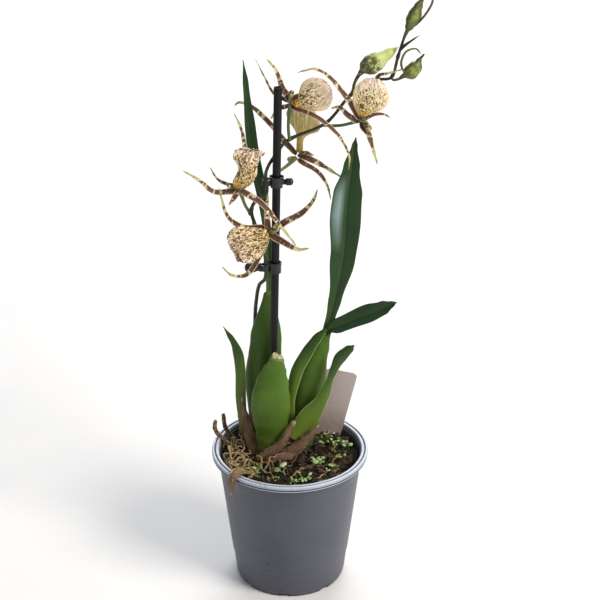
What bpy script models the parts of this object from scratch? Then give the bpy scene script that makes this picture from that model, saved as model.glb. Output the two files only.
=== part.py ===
"""Potted spider orchid: pot, potting mix, stake, clips, label, bulbs, leaves, roots, spike and flowers.

Metres, +Z up. The origin is the centre of the pot's foot. +X is the viewer's right, +Y is away from the
viewer. The plant's own points are in millimetres from the point where the pot's axis meets the top of the
potting mix, so the whole plant rises and falls with the mix.
"""
import math

import bmesh
import bpy
from mathutils import Matrix, Vector

MM = 0.001
GAP = 0.3 * MM                      # clearance between pieces that touch on the real plant

# Pot
POT_HEIGHT = 110 * MM
RIM_DIAMETER = 120 * MM
FOOT_DIAMETER = 86 * MM
POT_WALL = 1.2 * MM
RIM_WIDTH = 4.0 * MM
RIM_DROP = 4.6 * MM
COLLAR_DEPTH = 14 * MM              # from the rim's top down to the collar step
FOOT_RIDGE_HEIGHT = 24 * MM         # from the table up to the ridge
FOOT_RECESS = 2.0 * MM              # raised ring under the floor that holds the drainage holes
DRAIN_HOLES = 8
DRAIN_DIAMETER = 7 * MM
POT_SEGMENTS = 48

# Potting mix
MIX_DEPTH_AT_AXIS = 8 * MM          # from the rim's top down to the mix at the axis
MIX_DEPTH_AT_WALL = 9 * MM
MIX_PLATEAU = 30 * MM               # radius over which the top of the mix is level

# Stake, clips and label
STAKE_DIAMETER = 6 * MM
STAKE_BURIED = 60 * MM
CLIP_WALL = 1.2 * MM
CLIP_FIT = 0.35 * MM               # clearance of the collar round the stake
LOOP_FIT = 1.25 * MM                # the loop is loose on the spike
TAB_DIAMETER = 5.6 * MM
UPPER_CLIP_LEVEL = 217              # mm above the mix
LOWER_CLIP_LEVEL = 151
LABEL_WIDTH = 25 * MM
LABEL_LENGTH = 78 * MM
LABEL_THICKNESS = 0.8 * MM
LABEL_CORNER = 3 * MM
LABEL_BURIED = 20 * MM

# Plant
SPIKE_DIAMETER = 2.8 * MM
PEDICEL_DIAMETER = 1.8 * MM
FRONT_BULB_WIDTH = 30 * MM
FRONT_BULB_DEPTH = 17 * MM
LEAF_THICKNESS = 0.9 * MM
SEPAL_THICKNESS = 0.8 * MM
SEPAL_WIDTH = 4.4 * MM
LIP_THICKNESS = 0.8 * MM
ROOT_DIAMETER = 3.4 * MM

MIX_LEVEL = POT_HEIGHT - MIX_DEPTH_AT_AXIS
UP = Vector((0, 0, 1))
VIEWER = Vector((0, -1, 0.5))

for leftover in list(bpy.data.objects):
    bpy.data.objects.remove(leftover, do_unlink=True)

parts = bpy.data.collections.new("potted_orchid")
cutters = bpy.data.collections.new("cutters")
bpy.context.scene.collection.children.link(parts)
bpy.context.scene.collection.children.link(cutters)


def colour(hexa):
    """Linear RGBA from an sRGB hex colour."""
    channels = [int(hexa[i:i + 2], 16) / 255 for i in (0, 2, 4)]
    linear = [c / 12.92 if c <= 0.04045 else ((c + 0.055) / 1.055) ** 2.4 for c in channels]
    return (*linear, 1.0)


def material(name, hexa, roughness, metallic=0.0):
    made = bpy.data.materials.new(name)
    made.use_nodes = True
    shader = made.node_tree.nodes["Principled BSDF"]
    shader.inputs["Base Color"].default_value = colour(hexa)
    shader.inputs["Roughness"].default_value = roughness
    shader.inputs["Metallic"].default_value = metallic
    made.diffuse_color = colour(hexa)
    return made


def add_object(name, data, finish, home=parts):
    """Link a new object; it gets a material of its own."""
    made = bpy.data.objects.new(name, data)
    if finish is not None:
        data.materials.append(material(name, *finish))
    home.objects.link(made)
    return made


def cutter(name, data):
    made = add_object(name, data, None, cutters)
    made.hide_render = True
    made.display_type = "WIRE"
    return made


def boolean(piece, tool, operation):
    step = piece.modifiers.new(f"{operation.lower()} {tool.name}", "BOOLEAN")
    step.operation = operation
    step.solver = "EXACT"
    step.object = tool


def on_mix(point):
    """World position of a plant point given in millimetres from the top of the mix."""
    return Vector(point) * MM + Vector((0, 0, MIX_LEVEL))


def face_outward(solid):
    """Turn a closed solid's faces out."""
    bmesh.ops.recalc_face_normals(solid, faces=solid.faces)
    if solid.calc_volume(signed=True) < 0:
        bmesh.ops.reverse_faces(solid, faces=solid.faces)


def smooth_path(points, count):
    """Count + 1 places along a Catmull-Rom curve through the points, evenly spaced between them."""
    knots = [Vector(p) for p in points]
    knots.insert(0, 2 * knots[0] - knots[1])
    knots.append(2 * knots[-1] - knots[-2])
    spans = len(knots) - 3
    places = []
    for i in range(count + 1):
        position = i * spans / count
        span = min(int(position), spans - 1)
        t = position - span
        a, b, c, d = knots[span:span + 4]
        places.append(0.5 * (2 * b + (c - a) * t + (2 * a - 5 * b + 4 * c - d) * t ** 2
                             + (3 * b - a - 3 * c + d) * t ** 3))
    return places


def read_profile(profile, t):
    """Value at t of a profile of (place, value) pairs, eased between them."""
    for (t0, v0), (t1, v1) in zip(profile, profile[1:]):
        if t <= t1:
            s = (t - t0) / (t1 - t0)
            return v0 + (v1 - v0) * s * s * (3 - 2 * s)
    return profile[-1][1]


def frames_along(places, facing):
    """Tangent, side and normal at each place, with the normal kept as near the facing as it can be."""
    frames = []
    for i in range(len(places)):
        tangent = (places[min(i + 1, len(places) - 1)] - places[max(i - 1, 0)]).normalized()
        wanted = facing[0].lerp(facing[1], i / (len(places) - 1))
        side = tangent.cross(wanted).normalized()
        frames.append((tangent, side, side.cross(tangent)))
    return frames


def blade(name, points, widths, finish, thickness, facing=VIEWER, facing_end=None, fold=0.0, cup=0.0,
          along=12, across=4):
    """A leaf, sepal or lip: a grid laid along a curve, folded or cupped across, and given a thickness.

    Widths are (place, full width) pairs. Fold lifts both edges in a V and cup lifts them in a bowl, each as
    a share of the half width.
    """
    places = smooth_path([on_mix(p) for p in points], along)
    ends = (Vector(facing), Vector(facing if facing_end is None else facing_end))
    frames = frames_along(places, ends)
    grid = bmesh.new()
    bmesh.ops.create_grid(grid, x_segments=across, y_segments=along, size=1)
    for vertex in grid.verts:
        row = round((vertex.co.y + 1) / 2 * along)
        lean = vertex.co.x
        _, side, normal = frames[row]
        half = read_profile(widths, row / along) / 2
        lift = half * (fold * abs(lean) + cup * lean * lean)
        vertex.co = places[row] + side * (half * lean) + normal * lift
    bmesh.ops.recalc_face_normals(grid, faces=grid.faces)
    mesh = bpy.data.meshes.new(name)
    grid.to_mesh(mesh)
    grid.free()
    mesh.shade_smooth()
    piece = add_object(name, mesh, finish)
    wall = piece.modifiers.new("wall", "SOLIDIFY")
    wall.thickness = thickness
    wall.offset = 0
    return piece


def pod(name, points, widths, finish, depth_share=1.0, facing=VIEWER, around=12, along=10, home=parts):
    """A bulb, bud or stub: a ball drawn out along a curve, with its width set along the way."""
    places = smooth_path([on_mix(p) for p in points], 4 * along)
    frames = frames_along(places, (Vector(facing), Vector(facing)))
    ball = bmesh.new()
    bmesh.ops.create_uvsphere(ball, u_segments=around, v_segments=along, radius=1)
    for vertex in ball.verts:
        t = math.acos(max(-1, min(1, -vertex.co.z))) / math.pi
        row = round(t * 4 * along)
        _, side, normal = frames[row]
        half = read_profile(widths, t) / 2
        flat = Vector((vertex.co.x, vertex.co.y))
        if flat.length > 0.001:
            flat.normalize()
            vertex.co = places[row] + side * (half * flat.x) + normal * (half * depth_share * flat.y)
        else:
            vertex.co = places[row]
    face_outward(ball)
    mesh = bpy.data.meshes.new(name)
    ball.to_mesh(mesh)
    ball.free()
    mesh.shade_smooth()
    return add_object(name, mesh, finish, home)


def stem(name, points, diameter, finish, count=12, tip=1.0, resolution=1, home=parts):
    """A round stem along a smooth curve, as a mesh with closed ends."""
    curve = bpy.data.curves.new(name, "CURVE")
    curve.dimensions = "3D"
    curve.bevel_depth = diameter / 2
    curve.bevel_resolution = resolution
    curve.use_fill_caps = True
    spline = curve.splines.new("POLY")
    places = smooth_path([on_mix(p) for p in points], count)
    spline.points.add(len(places) - 1)
    for i, (point, place) in enumerate(zip(spline.points, places)):
        point.co = (*place, 1)
        point.radius = 1 + (tip - 1) * i / count
    guide = bpy.data.objects.new(name + " guide", curve)
    bpy.context.scene.collection.objects.link(guide)
    bpy.context.view_layer.update()
    mesh = bpy.data.meshes.new_from_object(guide.evaluated_get(bpy.context.evaluated_depsgraph_get()))
    bpy.data.objects.remove(guide, do_unlink=True)
    weld = bmesh.new()
    weld.from_mesh(mesh)
    bmesh.ops.remove_doubles(weld, verts=weld.verts, dist=0.00001)
    face_outward(weld)
    weld.to_mesh(mesh)
    weld.free()
    mesh.materials.clear()
    mesh.name = name
    mesh.shade_smooth()
    if home is cutters:
        return cutter(name, mesh)
    return add_object(name, mesh, finish)


def turned(name, profile, segments, finish, home=parts):
    """A solid of revolution about the pot's axis from (radius, height) pairs."""
    mesh = bpy.data.meshes.new(name)
    mesh.from_pydata([(r, 0, z) for r, z in profile], [(i, i + 1) for i in range(len(profile) - 1)], [])
    piece = add_object(name, mesh, finish, home)
    screw = piece.modifiers.new("turn", "SCREW")
    screw.steps = segments
    screw.render_steps = segments
    screw.use_merge_vertices = True
    screw.merge_threshold = 0.00001
    return piece


def cylinder_mesh(name, start, end, radius, sides):
    """A closed cylinder between two world points."""
    axis = end - start
    drum = bmesh.new()
    place = Matrix.Translation((start + end) / 2) @ axis.to_track_quat("Z", "Y").to_matrix().to_4x4()
    bmesh.ops.create_cone(drum, cap_ends=True, segments=sides, radius1=radius, radius2=radius,
                          depth=axis.length, matrix=place)
    mesh = bpy.data.meshes.new(name)
    drum.to_mesh(mesh)
    drum.free()
    return mesh


# ---------------------------------------------------------------- pot
# A thin moulded pot: a closed profile turned about its axis, then drilled for drainage under the foot.
rim_radius = RIM_DIAMETER / 2
wall_top_radius = rim_radius - RIM_WIDTH
foot_radius = FOOT_DIAMETER / 2


def wall_radius(height):
    """Outer radius of the pot's wall at a height above the table, below the rim."""
    return foot_radius + (wall_top_radius - foot_radius) * height / POT_HEIGHT


collar_height = POT_HEIGHT - COLLAR_DEPTH
collar_step = 0.6 * MM
foot_step = 0.8 * MM
floor_height = FOOT_RECESS + POT_WALL
channel_inner = foot_radius * 0.62
channel_outer = foot_radius - 4 * MM
pot_profile = (
    (0, floor_height),
    (foot_radius - foot_step - POT_WALL - 1.5 * MM, floor_height),
    (wall_radius(FOOT_RIDGE_HEIGHT) - foot_step - POT_WALL, FOOT_RIDGE_HEIGHT),
    (wall_radius(collar_height) - POT_WALL, collar_height),
    (wall_top_radius - POT_WALL, POT_HEIGHT - POT_WALL),
    (wall_top_radius - 0.5 * MM, POT_HEIGHT),
    (rim_radius - 0.8 * MM, POT_HEIGHT),
    (rim_radius, POT_HEIGHT - 1.0 * MM),
    (rim_radius, POT_HEIGHT - RIM_DROP + 0.6 * MM),
    (rim_radius - 0.6 * MM, POT_HEIGHT - RIM_DROP),
    (wall_top_radius + 0.6 * MM, POT_HEIGHT - RIM_DROP),
    (wall_radius(collar_height) + collar_step, collar_height),
    (wall_radius(collar_height), collar_height - 1.0 * MM),
    (wall_radius(FOOT_RIDGE_HEIGHT), FOOT_RIDGE_HEIGHT),
    (wall_radius(FOOT_RIDGE_HEIGHT) - foot_step, FOOT_RIDGE_HEIGHT - 1.0 * MM),
    (foot_radius - foot_step, 0.6 * MM),
    (foot_radius - foot_step - 0.6 * MM, 0),
    (channel_outer, 0),
    (channel_outer - 0.6 * MM, FOOT_RECESS),
    (channel_inner + 0.6 * MM, FOOT_RECESS),
    (channel_inner, 0),
    (0, 0),
)
pot = turned("pot", pot_profile, POT_SEGMENTS, ("6B6E76", 0.45))
drain_circle = (channel_inner + channel_outer) / 2
for k in range(DRAIN_HOLES):
    turn = 2 * math.pi * (k + 0.5) / DRAIN_HOLES
    centre = Vector((drain_circle * math.cos(turn), drain_circle * math.sin(turn), 0))
    drill = cylinder_mesh("drain", centre, centre + UP * (floor_height + 4 * MM), DRAIN_DIAMETER / 2, 12)
    boolean(pot, cutter(f"drain_{k}", drill), "DIFFERENCE")

# ---------------------------------------------------------------- potting mix
# Fills the pot up to a low mound; the top is level round the plant and falls away to the wall.
mix_radius = wall_radius(POT_HEIGHT - MIX_DEPTH_AT_WALL) - POT_WALL - collar_step - GAP


def mix_top(x, y):
    """Height of the top of the mix, in millimetres from its level at the axis."""
    reach = math.hypot(x, y) * MM
    slope = max(0.0, min(1.0, (reach - MIX_PLATEAU) / (mix_radius - MIX_PLATEAU)))
    return -(MIX_DEPTH_AT_WALL - MIX_DEPTH_AT_AXIS) / MM * slope ** 2


mix_profile = [(0, MIX_LEVEL)]
mix_profile.append((MIX_PLATEAU, MIX_LEVEL))
for step in (0.25, 0.5, 0.75, 1.0):
    reach = MIX_PLATEAU + (mix_radius - MIX_PLATEAU) * step
    mix_profile.append((reach, MIX_LEVEL + mix_top(reach / MM, 0) * MM))
mix_profile.append((wall_radius(FOOT_RIDGE_HEIGHT) - foot_step - POT_WALL - 2 * GAP, FOOT_RIDGE_HEIGHT))
mix_profile.append((foot_radius - foot_step - POT_WALL - 1.5 * MM - 3 * GAP, floor_height + GAP))
mix_profile.append((0, floor_height + GAP))
potting_mix = turned("potting_mix", mix_profile, POT_SEGMENTS, ("2A2018", 0.95))

# ---------------------------------------------------------------- stake
# A straight black tube stub pushed deep into the mix; it leans a little to the right.
STAKE_FOOT = Vector((-14, 14, 0))
STAKE_TOP = Vector((-7.5, 14, 286))
stake_run = (STAKE_TOP - STAKE_FOOT).normalized()


def stake_at(level):
    """Point of the stake's axis at a level above the mix, in millimetres."""
    return STAKE_FOOT + (STAKE_TOP - STAKE_FOOT) * (level / STAKE_TOP.z)


stake_bottom = on_mix(STAKE_FOOT) - stake_run * STAKE_BURIED
stake_mesh = cylinder_mesh("stake", stake_bottom, on_mix(STAKE_TOP), STAKE_DIAMETER / 2, 16)
stake = add_object("stake", stake_mesh, ("1B1B20", 0.5))
stake_hole = cylinder_mesh("stake hole", stake_bottom - stake_run * GAP, on_mix(STAKE_TOP),
                           STAKE_DIAMETER / 2 + GAP, 16)
boolean(potting_mix, cutter("stake_hole", stake_hole), "DIFFERENCE")

# ---------------------------------------------------------------- plant label
# A thin plastic card with round corners, pushed into the mix behind the right growth, leaning right.
LABEL_DIRECTION = Vector((28, 33, 0)).normalized()
LABEL_FROM_WALL = 10.5              # mm from the label's foot to the edge of the mix
LABEL_FOOT = LABEL_DIRECTION * (mix_radius / MM - LABEL_FROM_WALL)
LABEL_TILT = math.radians(13)


def rounded_card(name, width, length, corner, thickness):
    """A rectangle with arcs for corners, standing on its lower edge in the XZ plane."""
    outline = []
    for centre_x, centre_z, start in ((1, 1, 0), (-1, 1, 90), (-1, 0, 180), (1, 0, 270)):
        for k in range(5):
            angle = math.radians(start + 22.5 * k)
            x = centre_x * (width / 2 - corner) + corner * math.cos(angle)
            z = (length - corner if centre_z else corner) + corner * math.sin(angle)
            outline.append((x, z))
    curve = bpy.data.curves.new(name, "CURVE")
    curve.dimensions = "2D"
    curve.fill_mode = "BOTH"
    curve.extrude = thickness / 2
    spline = curve.splines.new("POLY")
    spline.points.add(len(outline) - 1)
    for point, (x, z) in zip(spline.points, outline):
        point.co = (x, z, 0, 1)
    spline.use_cyclic_u = True
    return curve


def stand_label(card_object):
    place = Matrix.Translation(on_mix(LABEL_FOOT)) @ Matrix.Rotation(LABEL_TILT, 4, "Y")
    card_object.matrix_world = place @ Matrix.Translation((0, 0, -LABEL_BURIED)) @ \
        Matrix.Rotation(math.radians(90), 4, "X")


def card_mesh(name, width, length, corner, thickness):
    guide = bpy.data.objects.new(name, rounded_card(name, width, length, corner, thickness))
    bpy.context.scene.collection.objects.link(guide)
    bpy.context.view_layer.update()
    mesh = bpy.data.meshes.new_from_object(guide.evaluated_get(bpy.context.evaluated_depsgraph_get()))
    bpy.data.objects.remove(guide, do_unlink=True)
    weld = bmesh.new()
    weld.from_mesh(mesh)
    bmesh.ops.remove_doubles(weld, verts=weld.verts, dist=0.00001)
    face_outward(weld)
    weld.to_mesh(mesh)
    weld.free()
    return mesh


label = add_object("plant_label", card_mesh("plant_label", LABEL_WIDTH, LABEL_LENGTH, LABEL_CORNER,
                                            LABEL_THICKNESS), ("CDBEBB", 0.5))
stand_label(label)
label_slot = cutter("label_slot", card_mesh("label_slot", LABEL_WIDTH + 2 * GAP, LABEL_LENGTH + 2 * GAP,
                                            LABEL_CORNER, LABEL_THICKNESS + 2 * GAP))
stand_label(label_slot)
label_slot.matrix_world = label_slot.matrix_world @ Matrix.Translation((0, -GAP, 0))
boolean(potting_mix, label_slot, "DIFFERENCE")

# ---------------------------------------------------------------- pseudobulbs
# Swollen, flattened storage stems. They stand on the mix a hair above it.
BULB_GREEN = ("5B8A2E", 0.4)
front_half = FRONT_BULB_WIDTH / MM / 2
FRONT_BULB_X = -15
front_bulb_depth = FRONT_BULB_DEPTH / MM
stand = GAP / MM
pseudobulb_front = pod(
    "pseudobulb_front",
    ((FRONT_BULB_X - 4, -2, stand), (FRONT_BULB_X - 0.2, -2, 28.5), (FRONT_BULB_X + 1.2, -2, 57),
     (FRONT_BULB_X + 6, -2, 85.5)),
    ((0, 0.36 * FRONT_BULB_WIDTH), (0.2, 0.66 * FRONT_BULB_WIDTH), (0.36, 0.9 * FRONT_BULB_WIDTH),
     (0.5, FRONT_BULB_WIDTH), (0.6, 0.97 * FRONT_BULB_WIDTH), (0.75, 0.8 * FRONT_BULB_WIDTH),
     (0.88, 0.57 * FRONT_BULB_WIDTH), (0.95, 0.4 * FRONT_BULB_WIDTH), (1, 0.3 * FRONT_BULB_WIDTH)),
    BULB_GREEN, depth_share=FRONT_BULB_DEPTH / FRONT_BULB_WIDTH, along=16, around=20)
pseudobulb_back = pod(
    "pseudobulb_back", ((-21.5, 26, stand), (-20, 26, 60), (-15.5, 26, 127)),
    ((0, 14 * MM), (0.15, 23 * MM), (0.45, 29 * MM), (0.7, 24 * MM), (1, 8 * MM)),
    BULB_GREEN, depth_share=0.53, along=14, around=18)
pseudobulb_right = pod(
    "pseudobulb_right", ((11, 12, stand), (14, 12, 45), (20.5, 12, 78), (26.5, 12, 99)),
    ((0, 12 * MM), (0.2, 20 * MM), (0.45, 21 * MM), (0.75, 14 * MM), (1, 6 * MM)),
    BULB_GREEN, depth_share=0.6, along=14, around=16)

# ---------------------------------------------------------------- leaves
LEAF_GREEN = ("27502A", 0.35)
YOUNG_GREEN = ("5F9A2B", 0.4)
blade("leaf_tall_left", ((-16.5, 26, 128.5), (-16, 26, 164), (-20, 27, 200), (-27, 28, 240), (-32, 30, 301)),
      ((0, 4 * MM), (0.3, 7 * MM), (0.6, 10 * MM), (0.85, 7 * MM), (1, 1.2 * MM)),
      LEAF_GREEN, LEAF_THICKNESS, facing=(0.5, -1, 0.2), fold=0.35, along=16)
blade("leaf_right_tall", ((28.5, 13, 103.5), (34, 13.5, 127), (39.5, 14, 162), (41, 14, 196), (43.5, 14, 220),
                          (47, 14, 249)),
      ((0, 4 * MM), (0.2, 10 * MM), (0.4, 19 * MM), (0.65, 20 * MM), (0.85, 13 * MM), (1, 1.2 * MM)),
      LEAF_GREEN, LEAF_THICKNESS, facing=(-0.1, -1, 0.15), fold=0.25, along=18)
blade("leaf_right_low", ((27.5, 9, 101.5), (38, 7, 107), (53, 4, 116), (66, 0, 123), (78, -4, 131)),
      ((0, 3.2 * MM), (0.25, 10 * MM), (0.6, 14 * MM), (0.85, 10 * MM), (1, 1.2 * MM)),
      LEAF_GREEN, LEAF_THICKNESS, facing=(-0.3, -1, 0.55), fold=0.35, along=14)
blade("leaf_sheath_middle", ((4, 4, 10), (3, 4, 40), (8, 3.5, 66), (17, 4, 92)),
      ((0, 8 * MM), (0.35, 12 * MM), (0.7, 12 * MM), (1, 3 * MM)),
      YOUNG_GREEN, LEAF_THICKNESS, facing=(-0.5, -1, 0), cup=-0.2, along=12)
blade("leaf_small_right", ((3, -4, 16), (13, -4, 31), (25, -3, 51), (31.5, -2, 70), (38, -2, 84),
                           (47.5, -2, 95)),
      ((0, 8 * MM), (0.25, 16 * MM), (0.45, 8.5 * MM), (0.6, 6 * MM), (0.8, 9.5 * MM), (0.92, 8 * MM),
       (1, 2 * MM)),
      YOUNG_GREEN, LEAF_THICKNESS, facing=(0.2, -1, 0.1), cup=-0.25, along=16)
blade("leaf_small_left", ((-36.5, 13, 18), (-38, 13, 42), (-38, 15, 66), (-41, 17, 84), (-50, 18, 101)),
      ((0, 7 * MM), (0.3, 8.5 * MM), (0.65, 8.5 * MM), (0.85, 5 * MM), (1, 1.2 * MM)),
      YOUNG_GREEN, LEAF_THICKNESS, facing=(-0.3, -1, 0.1), cup=-0.2, along=14)

# ---------------------------------------------------------------- dry sheaths
# Papery brown leaf bases that are left at the foot of each bulb.
DRY_BROWN = ("8A6A4C", 0.8)
front_edge = FRONT_BULB_X - front_half
blade("dry_sheath_left", ((front_edge + 2, 8.5, 3), (front_edge - 1, 10, 16), (front_edge - 6, 11, 38)),
      ((0, 7 * MM), (0.6, 6 * MM), (1, 1.5 * MM)), DRY_BROWN, SEPAL_THICKNESS, facing=(-0.3, -1, 0.2),
      along=6)
front_face = -2 - front_bulb_depth / 2
blade("dry_sheath_front", ((-20, front_face - 2, 4), (-9, front_face - 3, 12), (0, front_face - 1, 24),
                           (6, front_face + 1, 34)),
      ((0, 6 * MM), (0.5, 5 * MM), (1, 3 * MM)), DRY_BROWN, SEPAL_THICKNESS, facing=(0, -1, 0.4), along=8)
blade("dry_sheath_right", ((-5, -9.5, 4), (3, -9.5, 9), (10, -9, 16), (20, -7.5, 28)),
      ((0, 6 * MM), (0.5, 7 * MM), (1, 1.6 * MM)), DRY_BROWN, SEPAL_THICKNESS, facing=(0, -1, 0.4), along=8)

# ---------------------------------------------------------------- roots above the mix
ROOT_TAN = ("8C7A5C", 0.85)
root_fat = ROOT_DIAMETER / MM


def root_foot(x, y):
    """A point just clear of the mix, for a root's lower end."""
    return (x, y, mix_top(x, y) + root_fat / 2 + 2 * stand)


rim_out = rim_radius / MM
rim_up = MIX_DEPTH_AT_AXIS / MM


def over_rim(beyond, sideways, above):
    """A point past the rim's outer edge at the left, and above the rim's top."""
    return (-(rim_out + beyond), sideways, rim_up + above)


stem("root_stub_left", (root_foot(16 - rim_out, 10), over_rim(-9, 9.5, 0), over_rim(-4.5, 9, 5),
                        over_rim(-2, 8, 11), over_rim(-2, 8, 18)), ROOT_DIAMETER, ROOT_TAN, count=10)
stem("root_stub_back", (root_foot(17 - rim_out, 20), over_rim(-12.5, 20, -1), over_rim(-9, 20, 6),
                        over_rim(-8, 20, 17)), ROOT_DIAMETER, ROOT_TAN, count=8)
OVER = Vector((-0.68, -0.73, 0)).normalized()
rim_clump = [OVER * (rim_out - 18) + Vector((0, 0, mix_top(rim_out - 18, 0) + 5)),
             OVER * (rim_out - 5) + Vector((0, 0, rim_up + 3.5)),
             OVER * (rim_out + 3.5) + Vector((0, 0, rim_up + 0.5)),
             OVER * (rim_out + 4.5) + Vector((0, 0, rim_up - 12))]
stem("root_clump_rim", rim_clump, 1.3 * ROOT_DIAMETER, ROOT_TAN, count=8, tip=0.5, resolution=1)

# ---------------------------------------------------------------- flower spike
# One woody stem from behind the back bulb, held at the stake's left by two clips, with a thin bract near
# its tip. Where it passes the stake it keeps clear of it by the stake's and its own radius.
SPIKE_BROWN = ("3B3326", 0.45)
spike_fat = SPIKE_DIAMETER / MM
beside = (STAKE_DIAMETER / 2 + CLIP_FIT + CLIP_WALL + LOOP_FIT) / MM + spike_fat / 2
lower_hold = stake_at(LOWER_CLIP_LEVEL) - Vector((beside, 0, 0))
upper_hold = stake_at(UPPER_CLIP_LEVEL) - Vector((beside, 0, 0))
behind = stake_at(238) + Vector((1, STAKE_DIAMETER / MM / 2 + spike_fat / 2 + 2.4, 0))
rise = Vector((0, 0, 8))
SPIKE_FROM_WALL = 5.5               # mm from the spike's foot to the edge of the mix
spike_foot = Vector((-24, 38, 0)).normalized() * (mix_radius / MM - SPIKE_FROM_WALL)
spike_points = (
    spike_foot + Vector((0, 0, 4 * stand)), (-27, 38, 70), (-25, 33, 112), (-25, 24, 136),
    lower_hold - rise, lower_hold + rise,
    (-23, 12, 180), (-27, 11, 194), (-25, 12, 202),
    upper_hold - rise, upper_hold + rise,
    behind, (1, 23.5, 246), (26, 22, 258), (43, 22, 278), (60, 20, 289), (71, 18, 292), (75, 18, 306),
    (79, 17, 320),
)
flower_spike = stem("flower_spike", spike_points, SPIKE_DIAMETER, SPIKE_BROWN, count=72, tip=0.7)
bract = stem("spike_bract", ((76.6, 17.6, 312), (83, 15, 318), (89, 14, 321)), 1.6 * MM, None, count=4,
             tip=0.4, home=cutters)
boolean(flower_spike, bract, "UNION")

# ---------------------------------------------------------------- clips
# A one-piece black snap clip: a collar round the stake, a smaller loop round the spike, and a thumb tab.
CLIP_BLACK = ("17171B", 0.45)


def clip(name, level, hold, tab_side, tab_length, collar_height):
    centre = on_mix(stake_at(level))
    loop_centre = on_mix(hold)
    half = stake_run * (collar_height * MM / 2)
    bore = STAKE_DIAMETER / 2 + CLIP_FIT
    loop_bore = SPIKE_DIAMETER / 2 + LOOP_FIT
    collar = cylinder_mesh(name, centre - half, centre + half, bore + CLIP_WALL, 20)
    piece = add_object(name, collar, CLIP_BLACK)
    loop = cylinder_mesh(name, loop_centre - half * 0.6, loop_centre + half * 0.6, loop_bore + CLIP_WALL, 16)
    boolean(piece, cutter(name + "_loop", loop), "UNION")
    tab_start = centre + Vector((tab_side * (bore + CLIP_WALL / 2), 0, 0))
    if tab_side < 0:
        tab_start = loop_centre - Vector((loop_bore + CLIP_WALL / 2, 0, 0))
    tab = cylinder_mesh(name, tab_start, tab_start + Vector((tab_side * tab_length * MM, -1.2 * MM, 0)),
                        TAB_DIAMETER / 2, 12)
    boolean(piece, cutter(name + "_tab", tab), "UNION")
    through = stake_run * (collar_height * MM)
    stake_bore = cylinder_mesh(name, centre - through, centre + through, bore, 20)
    boolean(piece, cutter(name + "_stake_bore", stake_bore), "DIFFERENCE")
    spike_bore = cylinder_mesh(name, loop_centre - through, loop_centre + through, loop_bore, 16)
    boolean(piece, cutter(name + "_spike_bore", spike_bore), "DIFFERENCE")
    return piece


clip("clip_upper", UPPER_CLIP_LEVEL, upper_hold, 1, 8, 8)
clip("clip_lower", LOWER_CLIP_LEVEL, lower_hold, -1, 12, 8)

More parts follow.
